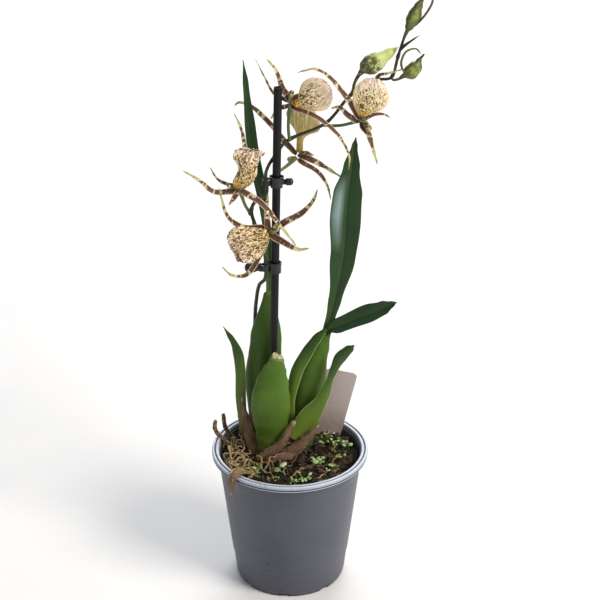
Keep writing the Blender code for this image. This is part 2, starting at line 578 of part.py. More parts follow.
# ---------------------------------------------------------------- flowers
# Each flower has a stalk that ends in the column, five narrow sepals and petals, and one broad lip. Points
# of sepals and lip are from the flower's centre; those of the stalk are from the top of the mix.
SEPAL_BROWN = ("8C5F45", 0.5)
LIP_CREAM = ("DCC79A", 0.5)
STALK_GREEN = ("6F8B4A", 0.5)
NARROW = ((0, 0.45), (0.3, 1.0), (0.65, 0.7), (1, 0.28))
flowers = {
    "a": {
        "centre": (-15, 2, 183),
        "stalk": ((-24.5, 8.6, 185), (-20, 6, 181.5), (-15.5, 2.6, 183)),
        "lip": ((-3, -3, 0), (-13, -8, -4), (-21, -11, -9), (-27, -12, -14)),
        "lip_widths": ((0, 5), (0.4, 20), (0.75, 26), (1, 12)),
        "lip_facing": (-0.3, -1, 0.3),
        "sepals": {
            "up_left": (((-4, 1, 3), (-18, 0, 4), (-29, -5, 15), (-34, -8, 37)), 1.1),
            "up": (((-0.5, 2, 4), (-1, 3, 17), (0, 2, 28)), 1.1),
            "up_right": (((3.4, -1, 2), (12, -3, 9), (24, -6, 17), (32, -8, 27), (35, -9, 36)), 1.2),
            "right": (((3.6, -2, -2), (12, -5, -6), (21, -7, -10), (29, -8, -9)), 1.2),
            "down": (((-1, -1, -4.5), (-6, -1, -17), (-15, -3, -31), (-26, -6, -31), (-33, -9, -23)), 1.0),
        },
    },
    "b": {
        "centre": (-35, 6, 214),
        "stalk": ((-29.4, 10.6, 196.6), (-32, 10, 202), (-35, 6.6, 213.5)),
        "lip": ((0.5, -3.5, 2), (5, -6, 14), (8, -7, 24), (8, -6, 32)),
        "lip_widths": ((0, 5), (0.35, 13), (0.7, 15), (0.9, 24), (1, 12)),
        "lip_facing": (0.1, -1, 0.2),
        "sepals": {
            "left": (((-3.5, 0, -1), (-18, -2, -1), (-28, -4, 8), (-39, -6, 16)), 1.0),
            "up_left": (((-3.2, 1, 2.2), (-9, 2, 3.4), (-16, 3, 7), (-21, 3, 16)), 0.7),
            "right": (((3.2, -1.6, -1.6), (16, -6, -9), (28, -10, -23), (40, -14, -37)), 1.1),
            "down_left": (((-2.6, -1, -3.2), (-5, -1.6, -7), (-8, -2, -11)), 1.0),
            "up": (((0, 2.4, 3.4), (4, 7, 19), (2, 9, 39), (-3, 8, 53)), 1.0),
        },
    },
    "c": {
        "centre": (1, 20, 273),
        "stalk": ((0, 21.4, 248), (-0.5, 22, 258), (1, 20.6, 272.5)),
        "lip": ((4, -2, 1), (10, -5, 4), (19, -7, 8), (28, -6, 11)),
        "lip_widths": ((0, 4), (0.3, 9), (0.6, 24), (0.85, 20), (1, 9)),
        "lip_facing": (0, -1, 0.35),
        "sepals": {
            "up_left": (((-1.4, 0, 3.6), (-6, 2, 11), (-10, 0, 23), (-16, -4, 32)), 1.1),
            "thin_left": (((-3.4, 1.2, 1.6), (-7, 3, 3.4), (-13, 5, 7), (-18, 5, 17), (-24, 3, 30)), 0.6),
            "right": (((2.6, -2.6, -3), (15, -8, -6), (26, -10, -13), (35, -12, -22), (41, -14, -34),
                       (41, -14, -44)), 0.8),
            "down_left": (((-3.2, 2, -3), (-7, 5, -5), (-11, 7, -9), (-14, 8, -14)), 0.8),
            "behind": (((3, 3, 3), (10, 4, 5), (20, 3, 5), (29, 1, 2)), 0.9),
        },
    },
    "d": {
        "centre": (6, 29, 231),
        "stalk": ((-10.6, 20.6, 231), (-8, 22, 223), (-3, 26, 224), (5.4, 29, 230.4)),
        "lip": ((1, 2, 4), (1, 3, 13), (4, 2, 23), (7, 0, 35)),
        "lip_widths": ((0, 5), (0.35, 8), (0.7, 18), (0.9, 22), (1, 16)),
        "lip_facing": (0, -1, 0.2),
        "sepals": {
            "left": (((-3, 3, 3), (-10, 6, 10), (-19, 8, 21), (-32, 8, 34), (-41, 7, 38), (-45, 5, 36)), 1.0),
            "thick_right": (((4, -1.4, 0.6), (17, -4, -5), (32, -9, -13)), 1.2),
            "thin_right": (((2.4, -2.6, -3), (14, -6, -9), (21, -9, -18), (24, -11, -29)), 0.8),
            "back_right": (((4, 2.4, -2), (8, 5, 0), (12, 9, -2)), 0.9),
            "back_left": (((-3, 3, -2.6), (-6, 6, -4), (-6, 11, -8)), 1.0),
        },
    },
    "e": {
        "centre": (50, 10, 264),
        "stalk": ((27, 20, 256.6), (36, 16, 258), (44, 12, 261), (49.5, 10.4, 263.6)),
        "lip": ((1, -3.6, 2), (2, -5, 10), (6, -7, 19), (9, -7, 28)),
        "lip_widths": ((0, 5), (0.3, 14), (0.65, 27), (0.85, 22), (1, 10)),
        "lip_facing": (0.1, -1, 0.3),
        "sepals": {
            "up_left": (((-2.6, -1.6, 3), (-8, -3, 13), (-13, -4, 20), (-22, -5, 31), (-32, -6, 37),
                         (-44, -7, 35)), 1.0),
            "left": (((-3.6, -1, -0.4), (-10, -1, 4), (-15, -1, 9), (-21, 0, 8)), 1.0),
            "down": (((1.4, -2, -4), (5, -3, -9), (8, -4, -18), (12, -4, -31)), 1.2),
            "right": (((4, 0.6, 1), (9, 2, 3), (16, 3, 3), (21, 4, 0)), 0.7),
            "behind": (((3, 3.2, 4), (7, 4, 17), (11, 1, 30), (18, -1, 33), (29, -1, 36)), 0.8),
        },
    },
}
for mark, flower in flowers.items():
    centre = Vector(flower["centre"])
    stalk = stem(f"flower_{mark}_stalk", flower["stalk"], PEDICEL_DIAMETER, STALK_GREEN, count=8)
    for place, (points, share) in flower["sepals"].items():
        widths = [(t, SEPAL_WIDTH * share * w) for t, w in NARROW]
        blade(f"flower_{mark}_sepal_{place}", [centre + Vector(p) for p in points], widths, SEPAL_BROWN,
              SEPAL_THICKNESS, facing=(0.1, -1, 0.35), fold=0.3, along=10, across=2)
    widths = [(t, w * MM) for t, w in flower["lip_widths"]]
    blade(f"flower_{mark}_lip", [centre + Vector(p) for p in flower["lip"]], widths, LIP_CREAM,
          LIP_THICKNESS, facing=flower["lip_facing"], cup=-0.15, along=8, across=6)

# ---------------------------------------------------------------- buds
# Unopened flowers on their stalks; the two younger ones have one sepal sprung free in a loop.
BUD_GREEN = ("9AAA58", 0.45)
buds = {
    "f": {
        "bud": ((44.6, 21.6, 281.6), (45.5, 22, 286), (48, 21, 292), (53, 20, 298), (61, 20, 303),
                (69, 21, 308), (76, 23.5, 312)),
        "widths": ((0, 2), (0.42, 2.4), (0.62, 11.5), (0.8, 9), (1, 1.4)),
        "loop": None,
    },
    "g": {
        "bud": ((72.6, 17, 290.2), (76, 17, 291), (79, 17, 293), (84, 16, 296.5), (88, 16, 301),
                (90, 16, 305)),
        "widths": ((0, 1.6), (0.35, 2.4), (0.6, 10.5), (0.8, 8), (1, 1.6)),
        "loop": ((83, 15, 296), (78, 13, 298), (77, 12, 304), (80, 12, 311), (86.5, 13, 312.5),
                 (90.5, 14.4, 309)),
    },
    "h": {
        "bud": ((79.6, 16.8, 321.4), (82, 16, 325), (84, 16, 333), (87, 16, 341), (91, 16, 348)),
        "widths": ((0, 2), (0.2, 4), (0.45, 9.5), (0.7, 7), (1, 1.6)),
        "loop": ((89.4, 16, 345), (92, 15.6, 349.5), (95.5, 15, 350.5), (97, 14, 344),
                 (95, 13, 336), (90, 12, 329)),
    },
}
for mark, bud in buds.items():
    widths = [(t, w * MM) for t, w in bud["widths"]]
    made = pod(f"bud_{mark}", bud["bud"], widths, BUD_GREEN, along=12, around=10)
    if bud["loop"]:
        loop = stem(f"bud_{mark}_loop", bud["loop"], 1.5 * MM, None, count=10, home=cutters)
        boolean(made, loop, "UNION")
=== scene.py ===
import math
import random

import bmesh
import bpy
from mathutils import Matrix, Vector, noise


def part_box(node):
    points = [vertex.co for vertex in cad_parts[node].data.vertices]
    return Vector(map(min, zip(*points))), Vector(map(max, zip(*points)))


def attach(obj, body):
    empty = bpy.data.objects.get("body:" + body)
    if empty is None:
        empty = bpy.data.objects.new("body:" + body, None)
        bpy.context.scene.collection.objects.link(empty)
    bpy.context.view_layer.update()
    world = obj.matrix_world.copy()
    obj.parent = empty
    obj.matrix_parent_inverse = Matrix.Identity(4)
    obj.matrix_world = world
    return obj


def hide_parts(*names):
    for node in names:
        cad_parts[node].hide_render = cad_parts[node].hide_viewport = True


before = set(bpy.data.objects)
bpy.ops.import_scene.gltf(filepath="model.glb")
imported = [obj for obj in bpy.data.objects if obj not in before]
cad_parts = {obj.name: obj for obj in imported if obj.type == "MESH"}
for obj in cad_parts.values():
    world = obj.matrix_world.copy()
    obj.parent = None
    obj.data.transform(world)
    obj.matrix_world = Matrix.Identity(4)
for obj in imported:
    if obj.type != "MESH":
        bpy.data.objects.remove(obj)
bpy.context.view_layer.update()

# ---------------------------------------------------------------- camera, floor and light
# The plant stands on a plain pale floor, seen from in front and from a little above, as it stands on a
# packing bench: a broad lamp at the right, a window-like one at the left, two that light the floor
# behind, and a bright room.
eye = bpy.data.objects.new("eye", bpy.data.cameras.new("eye"))
eye.location = (0.0077, -0.861, 0.619)
eye.rotation_euler = (math.radians(65.85), 0, 0)
eye.data.lens = 77.5
eye.data.sensor_width = 36
eye.data.clip_start = 0.02
bpy.context.scene.collection.objects.link(eye)
bpy.context.scene.camera = eye
bpy.context.scene.view_settings.view_transform = "Standard"


def colour(hexa):
    """Linear RGBA from an sRGB hex colour."""
    channels = [int(hexa[i:i + 2], 16) / 255 for i in (0, 2, 4)]
    linear = [c / 12.92 if c <= 0.04045 else ((c + 0.055) / 1.055) ** 2.4 for c in channels]
    return (*linear, 1.0)


def feed(node, inputs):
    """Set a node's inputs: to a value, from a socket, or from another node's first output in use."""
    for key, value in inputs.items():
        if isinstance(value, bpy.types.Node):
            value = next(socket for socket in value.outputs if socket.enabled)
        if isinstance(value, bpy.types.NodeSocket):
            node.id_data.links.new(value, node.inputs[key])
        else:
            node.inputs[key].default_value = value


def add(tree, kind, inputs=None, stops=None, **settings):
    """Add a node with its settings and inputs; stops are a ramp's (place, hex) pairs."""
    node = tree.nodes.new(kind)
    for name, value in settings.items():
        setattr(node, name, value)
    feed(node, inputs or {})
    if stops:
        while len(node.color_ramp.elements) < len(stops):
            node.color_ramp.elements.new(1.0)
        for element, (place, hexa) in zip(node.color_ramp.elements, stops):
            element.position = place
            element.color = colour(hexa)
    return node


def paint(shader, hue, relief=None, strength=0.0, depth=0.0):
    """Give a shader its colour, and the relief of a pattern that stands out by a depth in metres."""
    feed(shader, {"Base Color": hue})
    if relief:
        bump = add(shader.id_data, "ShaderNodeBump", {"Height": relief, "Strength": strength,
            "Distance": depth})
        feed(shader, {"Normal": bump})


def stain(tree, under, over, pattern, low, high, most=1.0, least=0.0):
    """Lay one colour over another, from least to most of it as a pattern goes from low to high."""
    share = add(tree, "ShaderNodeMapRange", {"Value": pattern, "From Min": low, "From Max": high,
        "To Min": least, "To Max": most})
    return add(tree, "ShaderNodeMix", {0: share, 6: under, 7: over}, data_type="RGBA")


def start_material(name, roughness, ior=1.46, **values):
    """A new material with its Principled shader; values go on the shader's own sockets."""
    made = bpy.data.materials.new(name)
    made.use_nodes = True
    shader = made.node_tree.nodes["Principled BSDF"]
    shader.inputs["Roughness"].default_value = roughness
    shader.inputs["IOR"].default_value = ior
    for key, value in values.items():
        shader.inputs[key.replace("_", " ")].default_value = value
    return made, made.node_tree, shader


def lamp(name, place, aim, size, power, hexa):
    data = bpy.data.lights.new(name, "AREA")
    data.size = size
    data.energy = power
    data.color = colour(hexa)[:3]
    made = bpy.data.objects.new(name, data)
    made.location = place
    made.rotation_euler = (Vector(aim) - Vector(place)).to_track_quat("-Z", "Y").to_euler()
    bpy.context.scene.collection.objects.link(made)


lamp("lamp_right", (1.45, -0.95, 1.55), (0, 0, 0.18), 0.9, 43, "FFF8EE")
lamp("window_left", (-1.5, -0.5, 1.1), (0, 0, 0.25), 1.2, 2, "E8F0FF")
lamp("lamp_back", (0.4, 1.5, 1.5), (0, 0, 0.2), 1.0, 6, "FFFFFF")
lamp("lamp_far", (0, 3.2, 2.4), (0, 2.6, 0), 3.0, 95, "FFFFFF")
room = bpy.data.worlds.new("bright room")
room.use_nodes = True
room.node_tree.nodes["Background"].inputs["Color"].default_value = colour("F4F6FA")
room.node_tree.nodes["Background"].inputs["Strength"].default_value = 0.27
bpy.context.scene.world = room

disc = bmesh.new()
bmesh.ops.create_circle(disc, cap_ends=True, segments=96, radius=6)
floor_mesh = bpy.data.meshes.new("floor")
disc.to_mesh(floor_mesh)
disc.free()
# Matt white laminate: rolled, so only a very faint mottle.
laminate, tree, shader = start_material("rolled white laminate", 0.6)
place = add(tree, "ShaderNodeTexCoord").outputs["Object"]
mottle = add(tree, "ShaderNodeTexNoise", {"Vector": place, "Scale": 9.0, "Detail": 3.0})
tone = add(tree, "ShaderNodeValToRGB", {"Fac": mottle}, stops=((0.3, "F3F3F4"), (0.7, "F8F8F8")))
paint(shader, tone)
floor_mesh.materials.append(laminate)
floor = bpy.data.objects.new("floor", floor_mesh)
bpy.context.scene.collection.objects.link(floor)

# ---------------------------------------------------------------- pot
# The thin grey nursery pot, injection moulded in polypropylene in one piece: a rolled rim, a faint collar
# step, a ridge above the foot, drainage holes in the floor, and shallow notches round the foot ring.
MM = 0.001
POT_PROFILE = (             # outline from the middle of the floor, up the inside, and down the outside
    (0, 3.2, 0), (39.5, 3.2, 1.5), (43.6, 24, 3), (53.0, 98, 2), (54.6, 108.6, 1.2), (55.2, 109.7, 0.8),
    (56.9, 109.7, 0.3), (57.2, 108.6, 0.2), (57.9, 108.6, 0.2), (58.2, 109.7, 0.3), (59.3, 109.8, 0.8),
    (60.0, 108.9, 0.8), (60.0, 107.5, 0.3), (59.3, 107.1, 0.2), (59.3, 106.6, 0.2), (59.9, 106.2, 0.3),
    (59.8, 105.6, 0.4), (59.0, 105.3, 0.5), (55.9, 105.4, 0.9), (54.7, 96.6, 1.4), (54.1, 94.8, 1.4),
    (45.7, 22.6, 0.5), (45.0, 21.2, 0.6), (43.0, 3.0, 3.0), (42.0, 0.6, 0.8), (41.8, 0, 0.5),
    (39.2, 0, 0.5), (38.4, 2, 0.4), (27.2, 2, 0.4), (26.6, 0, 0.5), (0, 0, 0),
)
POT_SIDES = 144
DRAINS = 8
DRAIN_MM = 7.0
RIM_FOOT = 0.105            # where the rim starts, then four more places on the pot, all in metres
RIM_CREST = 0.11
GROOVE_REACH = 0.05755
FOOT_REACH = 0.0421
FOOT_NOTCH_TOP = 0.0029


def rounded(corners):
    """An outline of (x, y) points whose corners, each (x, y, radius), are turned into small arcs."""
    points = []
    for i, (x, y, radius) in enumerate(corners):
        corner = Vector((x, y))
        if radius == 0:
            points.append(corner)
            continue
        back = Vector(corners[i - 1][:2]) - corner
        ahead = Vector(corners[(i + 1) % len(corners)][:2]) - corner
        start = corner + back.normalized() * min(radius, 0.48 * back.length)
        end = corner + ahead.normalized() * min(radius, 0.48 * ahead.length)
        for k in range(4):
            t = k / 3
            points.append(start * (1 - t) ** 2 + corner * 2 * t * (1 - t) + end * t * t)
    return points


def face_outward(solid):
    """Turn a closed solid's faces out."""
    bmesh.ops.recalc_face_normals(solid, faces=solid.faces)
    if solid.calc_volume(signed=True) < 0:
        bmesh.ops.reverse_faces(solid, faces=solid.faces)


def loft(name, rings, marks=None, sharp=None):
    """A closed mesh through rings of points, its ends drawn to a point.

    Marks are {attribute: one vector for each point}, in the same order as the rings.
    """
    around = len(rings[0])
    ends = [sum((Vector(p) for p in ring), Vector()) / around for ring in (rings[0], rings[-1])]
    points = [p for ring in rings for p in ring] + ends
    faces = []
    for i in range(len(rings) - 1):
        for k in range(around):
            n = (k + 1) % around
            faces.append((i * around + k, i * around + n, (i + 1) * around + n, (i + 1) * around + k))
    last = (len(rings) - 1) * around
    for k in range(around):
        n = (k + 1) % around
        faces.append((n, k, len(points) - 2))
        faces.append((last + k, last + n, len(points) - 1))
    mesh = bpy.data.meshes.new(name)
    mesh.from_pydata(points, [], faces)
    for key, values in (marks or {}).items():
        flat = [v for ring in values for v in ring]
        ends = [sum((Vector(v) for v in ring), Vector()) / around for ring in (values[0], values[-1])]
        layer = mesh.attributes.new(key, "FLOAT_VECTOR", "POINT")
        layer.data.foreach_set("vector", [c for v in flat + ends for c in v])
    solid = bmesh.new()
    solid.from_mesh(mesh)
    face_outward(solid)
    solid.to_mesh(mesh)
    solid.free()
    mesh.shade_smooth()
    if sharp:
        mesh.set_sharp_from_angle(angle=math.radians(sharp))
    return mesh


def turn_about(profile, sides, place=Matrix()):
    """Rings of a turned shape from (radius, height) pairs in mm, about Z and then put in place."""
    rings = []
    for radius, height in profile:
        ring = []
        for k in range(sides):
            angle = 2 * math.pi * k / sides
            spot = Vector((radius * math.cos(angle), radius * math.sin(angle), height)) * MM
            ring.append(place @ spot)
        rings.append(ring)
    return rings


def start_tree(name, **sizes):
    """A Geometry Nodes tree with a Geometry input, a Finish, and the sizes as named inputs."""
    tree = bpy.data.node_groups.new(name, "GeometryNodeTree")
    tree.interface.new_socket("Geometry", in_out="INPUT", socket_type="NodeSocketGeometry")
    tree.interface.new_socket("Geometry", in_out="OUTPUT", socket_type="NodeSocketGeometry")
    for key, value in sizes.items():
        kind = "NodeSocketInt" if isinstance(value, int) else "NodeSocketFloat"
        socket = tree.interface.new_socket(key.replace("_", " "), in_out="INPUT", socket_type=kind)
        socket.default_value = value
    tree.interface.new_socket("Finish", in_out="INPUT", socket_type="NodeSocketMaterial")
    given = tree.nodes.new("NodeGroupInput").outputs
    return tree, given


def end_tree(tree, given, shape):
    """Realize what the tree made, give it its material and send it out."""
    real = add(tree, "GeometryNodeRealizeInstances", {"Geometry": shape})
    painted = add(tree, "GeometryNodeSetMaterial", {"Geometry": real, "Material": given["Finish"]})
    out = tree.nodes.new("NodeGroupOutput")
    feed(out, {0: painted})


def grow(name, start, tree, finish, **sizes):
    """The plain mesh that a tree makes from a starting mesh."""
    holder = bpy.data.objects.new(name, start)
    bpy.context.scene.collection.objects.link(holder)
    step = holder.modifiers.new(name, "NODES")
    step.node_group = tree
    sockets = {s.name: s.identifier for s in tree.interface.items_tree if s.in_out == "INPUT"}
    step[sockets["Finish"]] = finish
    for key, value in sizes.items():
        step[sockets[key.replace("_", " ")]] = value
    seen = holder.evaluated_get(bpy.context.evaluated_depsgraph_get())
    made = bpy.data.meshes.new_from_object(seen)
    made.name = name
    holder.modifiers.clear()
    bpy.data.objects.remove(holder, do_unlink=True)
    return made


def keep(name, mesh, finish, slot, *nodes):
    """Make a mesh a piece of the plant, which stands for the named CAD nodes."""
    mesh.materials.clear()
    mesh.materials.append(finish)
    piece = bpy.data.objects.new(name, mesh)
    bpy.context.scene.collection.objects.link(piece)
    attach(piece, "root")
    if nodes:
        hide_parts(*nodes)
    return piece


# Polypropylene, moulded against a spark-eroded steel tool: a fine even grain and a soft grey sheen, with
# faint water marks and dust towards the foot. The rim is paler and bluer, part worn and part painted
# highlight, with painted shade in its grooves; the foot ring has soil and painted shade where it meets the
# floor.
pot_plastic, tree, shader = start_material("moulded grey polypropylene", 0.42, ior=1.49)
place = add(tree, "ShaderNodeTexCoord").outputs["Object"]
cloud = add(tree, "ShaderNodeTexNoise", {"Vector": place, "Scale": 28.0, "Detail": 4.0, "Roughness": 0.6})
body = add(tree, "ShaderNodeValToRGB", {"Fac": cloud}, stops=((0.3, "474B57"), (0.7, "515562")))
height = add(tree, "ShaderNodeSeparateXYZ", {"Vector": place}).outputs["Z"]
rim_place = add(tree, "ShaderNodeMapRange", {"Value": height, "From Min": RIM_FOOT,
    "From Max": RIM_CREST})
# Painted highlight and shade on the rim, partly wear: pale bluish-white bands where the rim's top and lip
# face the light, and a dark band of painted shade in the groove under the lip.
rim_highlight_and_groove_shade = add(tree, "ShaderNodeValToRGB", {"Fac": rim_place}, stops=((0.05, "8A91A2"), (0.24, "B4BBCC"),
    (0.3, "2B2D34"), (0.42, "2B2D34"), (0.48, "9AA2B4"), (0.82, "B6BED0"), (0.95, "D6DEEE")))
flat_place = add(tree, "ShaderNodeVectorMath", {0: place, 1: (1.0, 1.0, 0.0)}, operation="MULTIPLY")
reach = add(tree, "ShaderNodeVectorMath", {0: flat_place}, operation="LENGTH")
# Painted shade: a dark ring in the groove on the rim's top.
from_groove = add(tree, "ShaderNodeMath", {0: reach, 1: GROOVE_REACH}, operation="SUBTRACT")
from_groove = add(tree, "ShaderNodeMath", {0: from_groove}, operation="ABSOLUTE")
rim_with_painted_groove_shade = stain(tree, rim_highlight_and_groove_shade, colour("30333B"), from_groove, 0.0004, 0.0007, 0.0, 0.85)
rub = add(tree, "ShaderNodeTexNoise", {"Vector": place, "Scale": 160.0, "Detail": 5.0, "Roughness": 0.7})
worn = add(tree, "ShaderNodeMapRange", {"Value": rub, "From Min": 0.3, "From Max": 0.5, "To Min": 0.72,
    "To Max": 1.0})
# Where the rim's paler colour goes: everything above the rim's foot, in worn patches. It holds the painted
# highlight and the painted groove shade.
above = add(tree, "ShaderNodeMath", {0: height, 1: RIM_FOOT + 0.0002}, operation="GREATER_THAN")
rim_wear_and_highlight_share = add(tree, "ShaderNodeMath", {0: above, 1: worn}, operation="MULTIPLY")
paler = add(tree, "ShaderNodeMix", {0: rim_wear_and_highlight_share, 6: body, 7: rim_with_painted_groove_shade}, data_type="RGBA")
dust_fall = add(tree, "ShaderNodeMapRange", {"Value": height, "From Min": 0.0, "From Max": 0.03,
    "To Min": 0.55, "To Max": 0.0})
speck = add(tree, "ShaderNodeTexNoise", {"Vector": place, "Scale": 90.0, "Detail": 6.0, "Roughness": 0.75})
dusty = add(tree, "ShaderNodeMath", {0: dust_fall, 1: speck}, operation="MULTIPLY")
soiled = add(tree, "ShaderNodeMix", {0: dusty, 6: paler, 7: colour("4C4B4C")}, data_type="RGBA")
spots = add(tree, "ShaderNodeTexVoronoi", {"Vector": place, "Scale": 95.0})
crumb = add(tree, "ShaderNodeMapRange", {"Value": spots, "From Min": 0.06, "From Max": 0.09, "To Min": 0.75,
    "To Max": 0.0})
thin_out = add(tree, "ShaderNodeMath", {0: spots.outputs["Color"], 1: 0.68}, operation="GREATER_THAN")
crumbs = add(tree, "ShaderNodeMath", {0: crumb, 1: thin_out}, operation="MULTIPLY")
foot_fall = add(tree, "ShaderNodeMapRange", {"Value": height, "From Min": 0.0012, "From Max": 0.0042,
    "To Min": 0.66, "To Max": 0.0})
foot_soil_and_shade = add(tree, "ShaderNodeMath", {0: speck, 1: foot_fall})
foot_soil_and_shade = add(tree, "ShaderNodeMapRange", {"Value": foot_soil_and_shade, "From Min": 1.02, "From Max": 1.12,
    "To Max": 0.9})
# Painted shade where the pot meets the floor: the underside of the foot ring, the walls of its notches and
# the outer wall's lowest millimetre are darkened, on top of the soil near the foot.
under_foot = add(tree, "ShaderNodeMath", {0: reach, 1: FOOT_REACH}, operation="LESS_THAN")
foot_low = add(tree, "ShaderNodeMath", {0: height, 1: FOOT_NOTCH_TOP}, operation="LESS_THAN")
painted_foot_shade = add(tree, "ShaderNodeMath", {0: under_foot, 1: foot_low}, operation="MULTIPLY")
foot_soil_and_shade = add(tree, "ShaderNodeMath", {0: foot_soil_and_shade, 1: painted_foot_shade}, operation="MAXIMUM")
grime_and_foot_shade = add(tree, "ShaderNodeMath", {0: crumbs, 1: foot_soil_and_shade}, operation="MAXIMUM")
marked = add(tree, "ShaderNodeMix", {0: grime_and_foot_shade, 6: soiled, 7: colour("211C19")}, data_type="RGBA")
grain = add(tree, "ShaderNodeTexNoise", {"Vector": place, "Scale": 1400.0, "Detail": 2.0})
gloss = add(tree, "ShaderNodeMapRange", {"Value": cloud, "To Min": 0.36, "To Max": 0.5})
feed(shader, {"Roughness": gloss})
paint(shader, marked, grain, 0.12, 0.0003)

# The drainage holes and the notches in the foot ring: pins on two circles, taken out of the moulding.
drilled, given = start_tree("drainage holes", Count=DRAINS, Circle=0.0329, Bore=DRAIN_MM * MM / 2,
    Turn=math.pi / DRAINS, Foot_circle=0.0476, Notch=0.0072, Notch_turn=-0.105)
all_pins = add(drilled, "GeometryNodeJoinGeometry")
for circle_size, turn, bore, pin_sides, pin_depth in (("Circle", "Turn", "Bore", 32, 0.014),
        ("Foot circle", "Notch turn", "Notch", 24, 0.0056)):
    circle = add(drilled, "GeometryNodeMeshCircle", {"Vertices": given["Count"],
        "Radius": given[circle_size]})
    spin = add(drilled, "ShaderNodeCombineXYZ", {"Z": given[turn]})
    turned = add(drilled, "GeometryNodeTransform", {"Geometry": circle, "Rotation": spin})
    pin = add(drilled, "GeometryNodeMeshCylinder", {"Vertices": pin_sides, "Radius": given[bore],
        "Depth": pin_depth})
    pins = add(drilled, "GeometryNodeInstanceOnPoints", {"Points": turned, "Instance": pin})
    feed(all_pins, {0: pins})
solid_pins = add(drilled, "GeometryNodeRealizeInstances", {"Geometry": all_pins})
cut = add(drilled, "GeometryNodeMeshBoolean", {"Mesh 1": given["Geometry"], "Mesh 2": solid_pins},
    operation="DIFFERENCE", solver="EXACT")
end_tree(drilled, given, cut)

pot_blank = loft("pot_blank", turn_about(rounded(POT_PROFILE), POT_SIDES))
pot_mesh = grow("pot_moulding", pot_blank, drilled, pot_plastic)
pot_mesh.set_sharp_from_angle(angle=math.radians(40))
keep("pot_moulding", pot_mesh, pot_plastic, "pot_plastic", "pot")

# ---------------------------------------------------------------- potting mix
# Orchid bark in peat that fills the pot to a low mound: damp and nearly black, full of chips and dead
# roots, with moss and a few self-sown seedlings on its surface.
MIX_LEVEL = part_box("potting_mix")[1].z
MIX_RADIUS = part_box("potting_mix")[1].x / MM
PLATEAU = 30.0
EDGE_FALL = 1.0
POT_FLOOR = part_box("potting_mix")[0].z


def on_mix(point):
    """World position of a plant point given in mm from where the pot's axis meets the top of the mix."""
    return Vector(point) * MM + Vector((0, 0, MIX_LEVEL))


def mix_top(x, y):
    """Height of the lumpy top of the mix, in mm from its level at the axis."""
    reach = math.hypot(x, y)
    fall = EDGE_FALL * max(0.0, (reach - PLATEAU) / (MIX_RADIUS - PLATEAU)) ** 2
    lump = noise.fractal(Vector((x, y, 3.0)) / 9.0, 0.8, 2.1, 4) * 1.9
    return lump - fall - 0.3


mix_rings = []
for reach in [0.2] + [0.88 * k for k in range(1, 60)] + [MIX_RADIUS - 0.3]:
    ring = []
    for k in range(180):
        angle = 2 * math.pi * k / 180
        x, y = reach * math.cos(angle), reach * math.sin(angle)
        ring.append(on_mix((x, y, mix_top(x, y))))
    mix_rings.append(ring)
for radius, height in ((52.3, 88), (45.0, 25), (42.9, 23.8), (38.2, POT_FLOOR / MM), (0.2, POT_FLOOR / MM)):
    mix_rings += turn_about([(radius, height)], 180)
mix_mesh = loft("mix_bed", mix_rings)

# Damp peat and bark dust: almost black, matt, with the odd glint of wet fibre.
peat, tree, shader = start_material("damp peat and bark", 0.9, ior=1.4)
place = add(tree, "ShaderNodeTexCoord").outputs["Object"]
crumb = add(tree, "ShaderNodeTexNoise", {"Vector": place, "Scale": 420.0, "Detail": 6.0, "Roughness": 0.7})
tone = add(tree, "ShaderNodeValToRGB", {"Fac": crumb}, stops=((0.3, "0A0806"), (0.5, "1C1611"),
    (0.62, "33281F"), (0.75, "57473A")))
green = add(tree, "ShaderNodeTexNoise", {"Vector": place, "Scale": 60.0, "Detail": 5.0})
grown = stain(tree, tone, colour("2F3517"), green, 0.5, 0.62, 0.5)
damp = add(tree, "ShaderNodeMapRange", {"Value": green, "To Min": 0.65, "To Max": 1.0})
feed(shader, {"Roughness": damp})
paint(shader, grown, crumb, 0.9, 0.0012)
keep("mix_bed", mix_mesh, peat, "bark_mix", "potting_mix")

def scatter(tree, given, piece, sizes, least_tip, most_tip, tip_seed, shade_seed, lie_flat=False):
    """Strew copies of a piece over a face, each with its own size, tip and tint."""
    spots = add(tree, "GeometryNodeDistributePointsOnFaces", {"Mesh": given["Geometry"],
        "Density": given["Spread"], "Seed": given["Seed"]})
    size = add(tree, "FunctionNodeRandomValue", {2: sizes[0], 3: sizes[1]}, data_type="FLOAT")
    laid = add(tree, "GeometryNodeInstanceOnPoints", {"Points": spots, "Instance": piece, "Scale": size})
    if lie_flat:
        feed(laid, {"Rotation": spots.outputs["Rotation"]})
    return tip_and_tint(tree, laid, least_tip, most_tip, tip_seed, shade_seed)


def tip_and_tint(tree, laid, least_tip, most_tip, tip_seed, shade_seed):
    """Turn each copy by its own angles, and store a tint from 0 to 1 on it."""
    tip = add(tree, "FunctionNodeRandomValue", {0: least_tip, 1: most_tip, "Seed": tip_seed},
        data_type="FLOAT_VECTOR")
    tipped = add(tree, "GeometryNodeRotateInstances", {"Instances": laid, "Rotation": tip})
    shade = add(tree, "FunctionNodeRandomValue", {"Seed": shade_seed}, data_type="FLOAT")
    return add(tree, "GeometryNodeStoreNamedAttribute", {"Geometry": tipped, "Name": "tint",
        "Value": shade}, data_type="FLOAT", domain="INSTANCE")


def roughen(tree, shape, scale, detail, middle, strength):
    """Shove a shape's points about by a noise whose middle value moves nothing."""
    lump = add(tree, "ShaderNodeTexNoise", {"Scale": scale, "Detail": detail})
    centred = add(tree, "ShaderNodeVectorMath", {0: lump.outputs["Color"], 1: middle}, operation="SUBTRACT")
    shove = add(tree, "ShaderNodeVectorMath", {0: centred, "Scale": strength}, operation="SCALE")
    return add(tree, "GeometryNodeSetPosition", {"Geometry": shape, "Offset": shove})


